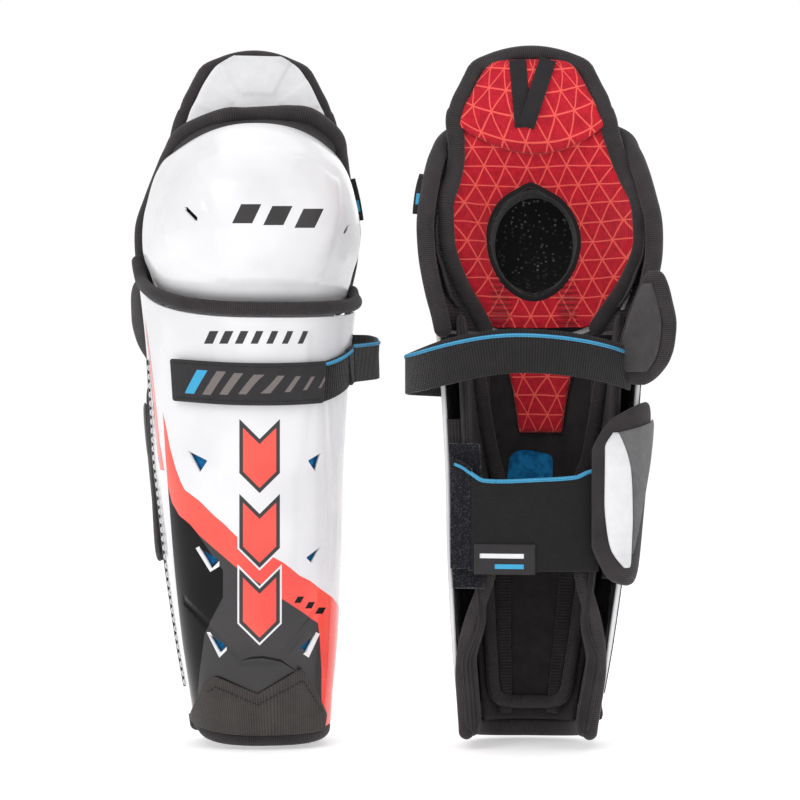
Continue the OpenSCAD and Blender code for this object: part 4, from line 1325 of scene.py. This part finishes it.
def lower_strap(g):
    """The wide elastic with its hook tab and label."""
    put, name = helpers(g)
    top_z = table((-32, 151.5), (-25, 149.5), (-19, 147), (2, 145.6), (22, 144.8), (30, 145.2),
                  (36, 148.5), (42, 152.5), (47, 154.5))

    def pull(pts):
        # the top edge curves up at both ends, and two upright folds show near the hook tab
        k = np.clip((pts[..., 2] - 121) / 24, 0, 1)
        pts[..., 2] += k * (top_z(pts[..., 0]) - 145)
        fade = np.clip((152 - pts[..., 2]) / 12, 0, 1) * np.clip((pts[..., 2] - 102) / 12, 0, 1)
        for x0 in (35.5, 42.0):
            pts[..., 1] += 0.7 * fade * np.exp(-((pts[..., 0] - x0) / 1.3) ** 2)
        return pts
    x = np.linspace(-31, 38, 28)
    path = behind_leg(x, 0.9, 121)
    put(strap_piece(name("lower_strap_elastic"), g, path, (0, 0, 1), 0.9, 24.0, M["elastic"], step=0.9,
                    bulge=pull), "lower_strap", "lower_strap", slot="black_elastic")
    x = np.linspace(-30, 46, 40)
    top = behind_leg(x, 1.2, top_z(x))
    put(roll_piece(name("lower_strap_edge"), g, [top], 1.5, 1.15, (0, 0, 1), M["braid"], 12, step=1.2),
        "lower_strap", slot="black_elastic")
    x = np.linspace(36.5, 47.5, 10)
    path = behind_leg(x, 0.9, 123)
    put(strap_piece(name("hook_tab_cloth"), g, path, (0, 0, 1), 1.25, 25.0, M["loop"], 0.9, step=0.9,
                    bulge=pull), "lower_strap", "hook_tab", slot="loop_fabric")
    x = np.linspace(2.5, 35, 14)
    path = behind_leg(x, 2.3, 103.4)
    put(strap_piece(name("strap_label"), g, path, (0, 0, 1), 0.45, 8.0, M["patch"], 0.4), "lower_strap",
        slot="black_rubber")
    for k, (x0, x1, z, m) in enumerate(((8.5, 32, 105.2, "white_cloth"), (8.5, 24, 99.6, "blue_print"))):
        x = np.linspace(x0, x1, 8)
        path = behind_leg(x, 2.85, z)
        put(strap_piece(name(f"label_bar_{k}"), g, path, (0, 0, 1), 0.14, 1.25, M[m], 0.12), "lower_strap",
            slot="white_fabric")


def knee(g):
    """The knee cap, its pad and rim, and the mesh cup behind the kneecap's hole."""
    put, name = helpers(g)
    put(hard_cap(g), "knee", "knee_cap", slot="white_shell")

    deep = table((224, 6.5), (247, 7), (262, 12), (336, 12))

    pad_front = lambda u, v: pad(u, 279.5 + 55.5 * v, 4.4, 4.4, 2.8)
    pad_rear = lambda u, v: pad(u, 279.5 + 55.5 * v, deep(279.5 + 55.5 * v), 5.4, 4.4)
    put(pad_piece(name("knee_padding"), g, pad_front, pad_rear, (190, 111), [M["padding"]], (60, 40), 60,
                  40), "knee", "knee_pad", slot="black_padding", fill=0.8)

    hs = RIM_HEIGHTS[g]
    side_pts = lambda k: np.stack([k * rim_w(g, hs, k) + shift_of(hs), rim_y(hs), hs], -1)
    tops = [(-21, 341.6), (-8, 342.6), (6, 343.6), (17, 344.2), (28, 342.6)]
    path = np.concatenate([side_pts(-1)[:-1], [[x + 3, -25, z] for x, z in tops], side_pts(1)[-2::-1]])
    put(roll_piece(name("knee_rim_roll"), g, [path], 4.8, 5.4, (0, 1, 0), M["binding"], 20), "knee",
        "knee_rim", slot="black_binding", fill=0.9)

    # black padding that closes the gap between the cap's top edge and the rim
    def crown(u, v, deep):
        x = u * 46.5
        k = np.clip((np.abs(x) - 22) / 24.5, 0, 1)
        high = np.stack([x * np.where(x < 0, 0.95, 1) + 3, -24 + 8.5 * k ** 1.3 + 0 * x,
                         342.3 - 9.5 * k ** 1.5], -1)
        low = cap(u * 0.99, 333 + 0 * x, 3.6)
        t = (v[..., None] + 1) / 2
        p = low * (1 - t) + high * t
        p[..., 1] += deep
        p[..., 2] -= deep * 0.5
        return p
    put(pad_piece(name("crown_padding"), g, *layers(crown, -0.6, 3.2), (92, 16), [M["binding"]], (48, 12),
                  30, 10), "knee", slot="black_padding", fill=0.8)
    # a small woven tag on the rim's inner side, with a blue mark
    for part, lo, hi, half_tall, grip, m, kind in (("side_tag", 289, 311, 2.6, 0.5, "tape",
                                                    "black_rubber"), ("side_tag_mark", 294, 300, 1.5, 0.66,
                                                                      "blue_print", "white_fabric")):
        z = np.linspace(lo, hi, 8)
        edge = np.stack([rim_w(g, z) + shift_of(z) + 5.2 - 0.6 * ((z - 300) / 11) ** 2, rim_y(z) - 1, z],
                        -1)
        put(strap_piece(name(part), g, edge, (1, 0, 0), grip, half_tall, M[m], 0.3), "knee", slot=kind)

    cup = lambda u, v, i: cap(u * 0.42, 278 + 30 * v, i)
    put(pad_piece(name("knee_cup_mesh"), g, *layers(cup, 13, 15.4), (60, 60), [M["mesh"]], (20, 20), 10,
                  10), "knee", "knee_mesh", slot="knee_mesh", fill=0.3)
    # the funnel of mesh cloth between the liner's hole and the cup
    rings = []
    for t in np.linspace(0, 1, 7):
        w, h = 24.6 - 3.0 * t, 30.2 - 3.5 * t
        y = leg_y(HOLE_X + w * np.cos(HOLE_TURN), HOLE_Z + h * np.sin(HOLE_TURN))
        far = cap(np.clip((HOLE_X + w * np.cos(HOLE_TURN)) / 60 * 0.46, -0.42, 0.42),
                  np.clip(HOLE_Z + h * np.sin(HOLE_TURN), 250, 306), 15.2)[:, 1]
        rings.append(np.stack([HOLE_X + w * np.cos(HOLE_TURN), (y - 2.5) * (1 - t) + far * t,
                               HOLE_Z + h * np.sin(HOLE_TURN)], -1))
    n = len(HOLE_TURN)
    outer_rings = [r + np.stack([0.8 * np.cos(HOLE_TURN), 0 * HOLE_TURN, 0.8 * np.sin(HOLE_TURN)], -1)
                   for r in rings]
    points = np.concatenate(rings + outer_rings)
    faces = []
    k = len(rings)
    for i in range(k - 1):
        for j in range(n):
            m = (j + 1) % n
            faces.append((i * n + j, (i + 1) * n + j, (i + 1) * n + m, i * n + m))
            faces.append(((k + i) * n + j, (k + i) * n + m, (k + i + 1) * n + m, (k + i + 1) * n + j))
    for j in range(n):
        m = (j + 1) % n
        faces.append((j, m, k * n + m, k * n + j))
        faces.append(((k - 1) * n + m, (k - 1) * n + j, (2 * k - 1) * n + j, (2 * k - 1) * n + m))
    put(finish_mesh(name("knee_cup_wall"), g, points, faces, None, points[:, :2], None, [M["mesh"]]),
        "knee", slot="knee_mesh")


def knee_liner(g):
    """The red liner: a sheet with the kneecap's hole, crowned between its edges, and what joins it on."""
    put, name = helpers(g)
    half = lambda z, side=1: liner_half_w(z) + wide(g, z, side) - 8.6
    zs = np.linspace(231, 330, 34)
    xs = np.linspace(float(half(335)), -float(half(335)), 22)
    bs = np.linspace(-float(half(230)), float(half(230)), 12)
    outline = np.array([(float(half(z)), z) for z in zs] + [(x, float(seam_z(x)) - 2) for x in xs]
                       + [(-float(half(z, -1)), z) for z in zs[::-1]] + [(x, 229.0) for x in bs[1:-1]])
    hole = np.stack([25 * np.cos(HOLE_TURN),
                     HOLE_Z + 30.5 * np.sin(HOLE_TURN) + 2.5
                     * np.exp(-((HOLE_TURN - math.pi / 2) / 0.16) ** 2) + 1.5 * np.cos(HOLE_TURN) ** 2
                     - 0.75], -1)
    hole[:, 0] *= 1 - 0.1 * np.clip(-np.sin(HOLE_TURN), 0, 1) ** 2
    hole[:, 0] += HOLE_X
    thin = lambda x: np.interp(np.abs(x), [0, 30, 50], [1, 1, 0.5])

    def liner_top(u, v, inset=0.0):
        flat = np.stack([u, v], -1)
        d = np.minimum(distance(flat, outline), distance(flat, hole))
        crown = 2.0 * (1 - np.exp(-d / 4.0)) - 0.8 * np.exp(-(d / 1.8) ** 2)
        # gathered strips either side of the smooth lower panel, and the short seam above the hole
        for x0 in (22.5, -15.5):
            strip = np.exp(-((u - x0) / 6.0) ** 4) * np.clip((262 - v) / 16, 0, 1)
            crown = crown + strip * (1.5 * np.sin(2 * math.pi * v / 3.3) - 0.5)
        crown = crown - 0.9 * np.exp(-((u - 3.6) / 0.8) ** 2) * np.clip((v - 305) / 6, 0,
                                                                        1) * np.clip((330 - v) / 4, 0, 1)
        return liner(u, v, inset - crown)

    def liner_low(u, v):
        return liner(u, v, 7.0 * thin(u))
    put(sheet_piece(name("red_knee_liner"), g, liner_top, outline, 7.0, [M["red_liner"]], (), [hole],
                    grid=1.6, flip=True, round_out=0.12, inner=liner_low), "knee", "knee_liner",
        slot="red_liner", fill=0.6)
    ring3 = liner(hole[:, 0], hole[:, 1], 1.2)
    put(roll_piece(name("kneecap_hole_roll"), g, [ring3[::3]], 1.9, 1.9, (0, 1, 0), M["thread"], 12,
                   closed=True), "knee", slot="black_binding", fill=0.8)

    hs = np.array([224, 229, 238, 249, 260, 271, 282, 296, 308, 320, 331.0])
    put(roll_piece(name("liner_edge_binding"), g, [binding_path(g, k, hs) for k in (-1, 1)], 4.7, 4.7,
                   (0, 1, 0), M["binding"], 20), "knee", "liner_binding", slot="black_binding", fill=0.9)
    # the binding and the cloth where the thigh flap folds
    hs = np.array([324, 328, 332, 336, 340, 344, 349.0])
    bend_from = [tuple(float(c) for c in placed((3, -4, z), g)) for z in (328, 342)]
    ob = roll_piece(name("fold_binding"), g, [binding_path(g, k, hs) for k in (-1, 1)], 4.8, 5.0,
                    (0, 1, 0), M["binding"], 20, step=1.2)
    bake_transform(ob)
    fold = lambda u, v, deep: liner(u * (flap_half(g, 336 + 9 * v) - 6.0), 336 + 9 * v, deep)
    ob = pad_piece(name("fold_cloth"), g, *layers(fold, 6.8, 2.8), shifted(40, 0, 9, 336),
                   [M["red_liner"]], (40, 12), 20, 8)
    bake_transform(ob)
    # ribbed cloth between the liner's binding and the knee rim
    for side, part in SIDES:
        rows = []
        for z in np.linspace(GUARDS[g]["gusset_from"], 332, 32):
            z = float(z)
            x0 = side * (float(liner_half_w(z)) + float(wide(g, z, side)) - 1.0) + float(shift_of(z))
            y0 = float(leg_y(np.array(float(liner_half_w(z)) - 1.0), z)) - 5.5
            x1 = side * (float(rim_w(g, z, side)) - 1.0) + float(shift_of(z))
            y1 = float(rim_y(z)) - 1.5
            t = np.linspace(0, 1, 8)
            rows.append(np.stack([x0 + (x1 - x0) * t, y0 + (y1 - y0) * t - 3.0 * np.sin(math.pi * t),
                                  z + 0 * t], -1))
        rows = np.array(rows)

        def web(u, v, lift, rows=rows):
            i, j = (v + 1) / 2 * (rows.shape[0] - 1), (u + 1) / 2 * (rows.shape[1] - 1)
            i0, j0 = np.clip(i.astype(int), 0, rows.shape[0] - 2), np.clip(j.astype(int), 0,
                                                                           rows.shape[1] - 2)
            fi, fj = (i - i0)[..., None], (j - j0)[..., None]
            p = (rows[i0, j0] * (1 - fi) * (1 - fj) + rows[i0 + 1, j0] * fi * (1 - fj) + rows[i0, j0 + 1]
                 * (1 - fi) * fj + rows[i0 + 1, j0 + 1] * fi * fj)
            return p + np.array([0, lift, 0])
        put(pad_piece(name(f"knee_gusset_{part}"), g, *layers(web, -1.2, 0.8), lengthways(46, 9),
                      [M["lining"]], (10, 50), 20, 60, flip=side < 0), "knee", slot="black_padding",
            fill=0.4)


def thigh_flap(g):
    """The flap above the knee with its cushion, binding and folded tape."""
    put, name = helpers(g)

    def flap(u, v, deep, margin, lift):
        w = (v + 1) / 2
        z = 341 + w * (40 - margin)
        x = u * np.maximum(4, flap_half(g, np.minimum(383, z + margin * 0.5)) - margin)
        
        drop = 8 - lift - seam_z(x) + 333 + GUARDS[g]["corner_drop"] * np.abs(u) ** 3
        return np.stack([x + across(g, z), leg_y(x, z) - deep, z - (1 - w) * drop], -1)

    face_in = GUARDS[g]["face_in"]

    def flap_front(u, v):
        p = flap(u, v, 11.6, face_in, 4)
        x, z = p[..., 0] - 3.0, p[..., 2]
        flat = np.stack([x.ravel(), z.ravel()], -1)
        for shape, high in (([(-21, 378), (21, 378), (9, 356), (-9, 356)], 1.2),
                            ([(-9, 356), (9, 356), (14, 344), (-14, 344)], 0.6),
                            ([(-30, 366), (-12, 352), (-20, 343), (-38, 352)], 0.7),
                            ([(30, 366), (12, 352), (20, 343), (38, 352)], 0.7)):
            p[..., 1] -= high * rise_of(grown(flat, shape, 2.2)).reshape(x.shape)
        return p
    put(pad_piece(name("flap_front_mesh"), g, flap_front, lambda u, v: flap(u, v, 8.0, face_in, 4),
                  (84, 40), [M["white_cloth"]], (84, 60), 40, 30), "flap", "flap_face",
        slot="white_fabric", fill=0.5)

    def brow(u, v, deep, bulge):
        # its lower edge hangs over the knee liner in a crescent
        w = (v + 1) / 2
        z = 341 + w * 33 - (1 - w) ** 1.3 * (341 - 323 - 14.5 * np.abs(u) ** 2)
        x = u * np.maximum(4, flap_half(g, np.minimum(383, z + 3.0)) - 6.6 - GUARDS[g]["brow_in"] * (1 - w))
        down = np.clip((338 - z) / 9, 0, 1)
        soft = bulge * (1 - u ** 2) * np.sqrt(np.clip(1 - v * v, 0, 1))
        return np.stack([x + across(g, z), leg_y(x, z) - deep + soft + 2.4 * rise_of(down), z], -1)
    put(pad_piece(name("brow_pad"), g, lambda u, v: brow(u, v, 7.0 - 7.5 * np.clip(-v, 0, 1), 0), lambda u,
                  v: brow(u, v, -3.4, 2.8), shifted(39, 4, 20, 360), [M["red_liner"]], (52, 44), 20, 12),
        "flap", "brow_cushion", slot="red_liner", fill=0.85)

    up_z = np.array([341, 346, 352, 358, 364, 369.5])
    side_pts = lambda k: np.stack([k * (flap_half(g, up_z) - 4.0) + across(g, up_z),
                                   leg_y(flap_half(g, up_z) - 4.0, up_z) - 3.0, up_z], -1)
    tops = np.array([[x * float(slim[g](376)) + float(across(g, 376)), float(leg_y(np.array(x), 377.0))
                      - 3, 377.2 - 0.0092 * x * x] for x in (-21, -15, -8, 0, 8, 15, 21)])
    path = np.concatenate([side_pts(-1), tops, side_pts(1)[::-1]])
    put(roll_piece(name("flap_edge_binding"), g, [path], 4.3, 5.4, (0, 1, 0), M["binding"], 20,
                   square=0.9), "flap", "flap_binding", slot="black_binding", fill=0.9)

    for k, (x0, x1, lift, part) in enumerate(((8.5, 6.0, 4.6, "under"), (-7.3, 2.8, 6.0, "over"))):
        zz = np.array([337, 343, 351, 361, 373])
        push = np.interp(zz, [337, 343, 351, 362, 373], [0.6, 1.2, 0.8, 0.3, -0.8])
        path = np.stack([x1 + (x0 - x1) * (zz - 341) / 30 + 3.6, leg_y(0 * zz, zz) + lift + 1.2 + push,
                         zz], -1)
        ob = strap_piece(name(f"flap_tape_{part}"), g, path, (0, 1, 0), 4.6, 0.5, M["tape"], 0.45)
        put(ob, "flap", *(["v_loop"] if k == 1 else []), slot="black_elastic")


# The knee wing's edges next to the pad and away from it, by height
WING_EDGES = {
    "a": (table((205, -14), (217, -12.5), (231, -7), (244, 0), (254, 6), (257.2, 9)),
          table((205, -9), (212, 2), (222, 16), (234, 25), (246, 26), (253, 23), (257.2, 15))),
    "b": (table((196, -2), (199, -8), (204, -13), (209.5, -14.7), (217, -12.5), (231, -7), (244, 0),
                (252, 5), (257.2, 9)),
          table((196, 5), (197.5, 9.5), (201.5, 17), (209.5, 26.5), (217.5, 30.8), (228, 32.6), (241, 28),
                (252, 22.5), (256, 19), (257.2, 15))),
}


def wings(g):
    """The two padded wings on the outer side."""
    put, name = helpers(g)
    spec = GUARDS[g]
    

    near_d, far_d = WING_EDGES[g]
    low_z = spec["wing_low"]

    def wing(u, v, out, margin, crown=0.0):
        z = low_z + margin + (v + 1) / 2 * (257.0 - low_z - 2 * margin)
        first, last = near_d(z) + margin * 0.9, far_d(z) - margin * 0.9
        d = first + np.maximum(last - first, 1.0) * (u + 1) / 2
        c = out - 0.004 * d * (37 - d) + crown * (1 - u * u) * (1 - v * v)
        w = math.radians(90 + spec["flare"])
        return np.stack([-55 + d * math.cos(w) - c * math.cos(w + math.pi / 2),
                         29 + d * math.sin(w) - c * math.sin(w + math.pi / 2), z], -1)
    put(pad_piece(name("knee_wing_padding"), g, *layers(wing, (8.0, 0, 1.0), (0.0, 0, -0.6)),
                  lengthways(31, 18), [M["binding"]], (28, 36), 4, 6), "knee_wing", "knee_wing_pad",
        slot="black_padding", fill=0.8)
    put(pad_piece(name("knee_wing_panel"), g, *layers(wing, (10.4, 7, 0.9), (7.4, 7)), lengthways(24, 11),
                  [M["insert"]], (20, 28), 6, 6), "knee_wing", "knee_wing_insert", slot="grey_fabric",
        fill=0.5)

    def calf(u, v, out, q0, q1, crown=0.0, heights=None):
        if heights is None:
            q = q0 + (q1 - q0) * (1 - u) / 2
            low = 85 + 12 * q * q + 10 * (1 - q) ** 3 + 13 * np.clip((q - 0.72) / 0.28, 0, 1) ** 2
            high = 190 - 19 * q * q - 4 * (1 - q) ** 3 - 9 * np.clip((q - 0.75) / 0.25, 0, 1) ** 2
            z = low + (v + 1) / 2 * (high - low)
        else:
            z = heights[0] + (v + 1) / 2 * (heights[1] + heights[2] * (u + 1) / 2 - heights[0])
            q = q0(z) + (q1(z) - q0(z)) * (1 - u) / 2
        t = np.radians(-8 + 93 * q)
        out = out + crown * (1 - u * u) * (1 - v * v)
        x = (1 - q) * (lean(z) - half_w(z)) - q * 51.5 + 26.8 - (34 + out) * np.cos(t)
        x = x + spec["calf_press"] * np.clip((-44 - x) / 14, 0, 1)
        return np.stack([x, 18 + (28 + out) * np.sin(t), z + spec["calf_up"]], -1)
    put(pad_piece(name("calf_wing_padding"), g, *layers(calf, (0.2, 0.04, 1), (-6, 0.04, 1)),
                  lengthways(50, 35), [M["binding"]], (40, 40), 12, 12), "calf_wing", "calf_wing_pad",
        slot="black_padding", fill=0.7)

    # its white panel towards the free edge and its grey one towards the hinge
    free = table((99, 0.62), (104, 0.73), (109, 0.80), (119, 0.85), (135, 0.88), (163, 0.88), (171, 0.80))
    seam = table((99, 0.54), (119, 0.54), (135, 0.56), (151, 0.60), (161, 0.66), (171, 0.75))
    hinge = table((107, 0.50), (124, 0.40), (145, 0.28), (159, 0.20), (172, 0.12), (178, 0.10))
    put(pad_piece(name("calf_wing_panel"), g,
                  *layers(calf, (2.6, seam, free, 0.5, (99, 171, 0)),
                          (-0.6, seam, free, 0.0, (99, 171, 0))), (28, 72), [M["white_cloth"]], (24, 40),
                  10, 20), "calf_wing", "calf_wing_face", slot="white_fabric", fill=0.4)
    put(pad_piece(name("calf_wing_side"), g,
                  *layers(calf, (2.2, hinge, seam, 0.3, (106, 171, 7)),
                          (-0.6, hinge, seam, 0.0, (106, 171, 7))), lengthways(36, 14), [M["grey_cloth"]],
                  (24, 40), 10, 20), "calf_wing", slot="grey_fabric", fill=0.4)


PARTS = (shell_and_trim, shell_padding, upper_strap, lower_strap, knee, knee_liner, thigh_flap, wings)

for guard in GUARDS:
    for part in PARTS:
        part(guard)


# ---- studio -----------------------------------------------------------------------------------------

def stage():
    """The floor, the surroundings, the lights and the camera."""
    
    world = bpy.data.worlds.new("studio")
    bpy.context.scene.world = world
    world.use_nodes = True
    back = world.node_tree.nodes["Background"]
    back.inputs[0].default_value = (1.0, 1.0, 1.0, 1.0)
    t = world.node_tree
    way = t.nodes.new("ShaderNodeTexCoord")
    split = t.nodes.new("ShaderNodeSeparateXYZ")
    t.links.new(way.outputs["Generated"], split.inputs[0])

    def calc(op, a, b):
        n = t.nodes.new("ShaderNodeMath")
        n.operation = op
        for socket, value in zip(n.inputs, (a, b)):
            if isinstance(value, float):
                socket.default_value = value
            else:
                t.links.new(value, socket)
        return n.outputs[0]
    # white ahead and behind, dimmer to the sides and above, so that rounded white parts show their shape
    ahead = calc("POWER", calc("ABSOLUTE", split.outputs[1], 0.0), 1.5)
    t.links.new(calc("ADD", calc("MULTIPLY", ahead, 0.38), 0.64), back.inputs[1])
    me = bpy.data.meshes.new("floor")
    n, r = 64, 6.0
    ring = [(r * math.cos(2 * math.pi * k / n), r * math.sin(2 * math.pi * k / n), -0.0005)
            for k in range(n)]
    me.from_pydata(ring, [], [tuple(range(n))])
    f = Finish("floor_paint", 0.9, specular=0.1)
    f.colour(f.mix(f.noise(3.0, 1.0), rgb(250, 250, 250), rgb(247, 247, 248)))
    f.b.inputs["Emission Color"].default_value = (1.0, 1.0, 1.0, 1.0)
    f.b.inputs["Emission Strength"].default_value = 0.36
    me.materials.append(f.m)
    floor = bpy.data.objects.new("floor", me)
    bpy.context.scene.collection.objects.link(floor)
    for name, at, size, power in (("key", (-0.9, -1.3, 1.3), 0.8, 6.0),
                                  ("fill", (1.2, -1.1, 0.7), 1.0, 1.5), ("top", (0.0, 0.1, 1.6), 1.2, 5.0),
                                  ("rim", (0.3, 1.5, 0.9), 1.0, 2.0)):
        light = bpy.data.lights.new(name, "AREA")
        light.size = size
        light.energy = power
        ob = bpy.data.objects.new(name, light)
        ob.location = at
        ob.rotation_euler = (Vector((0, 0, 0.19)) - Vector(at)).to_track_quat("-Z", "Y").to_euler()
        bpy.context.scene.collection.objects.link(ob)
    cam = bpy.data.cameras.new("camera")
    cam.sensor_width = 36.0
    cam.lens = LENS
    cam.clip_start, cam.clip_end = 0.01, 50
    ob = bpy.data.objects.new("camera", cam)
    ob.location = [c / 1000 for c in EYE]
    ob.rotation_euler = (math.pi / 2, 0, 0)
    bpy.context.scene.collection.objects.link(ob)
    bpy.context.scene.camera = ob
    bpy.context.scene.view_settings.view_transform = "Standard"


stage()
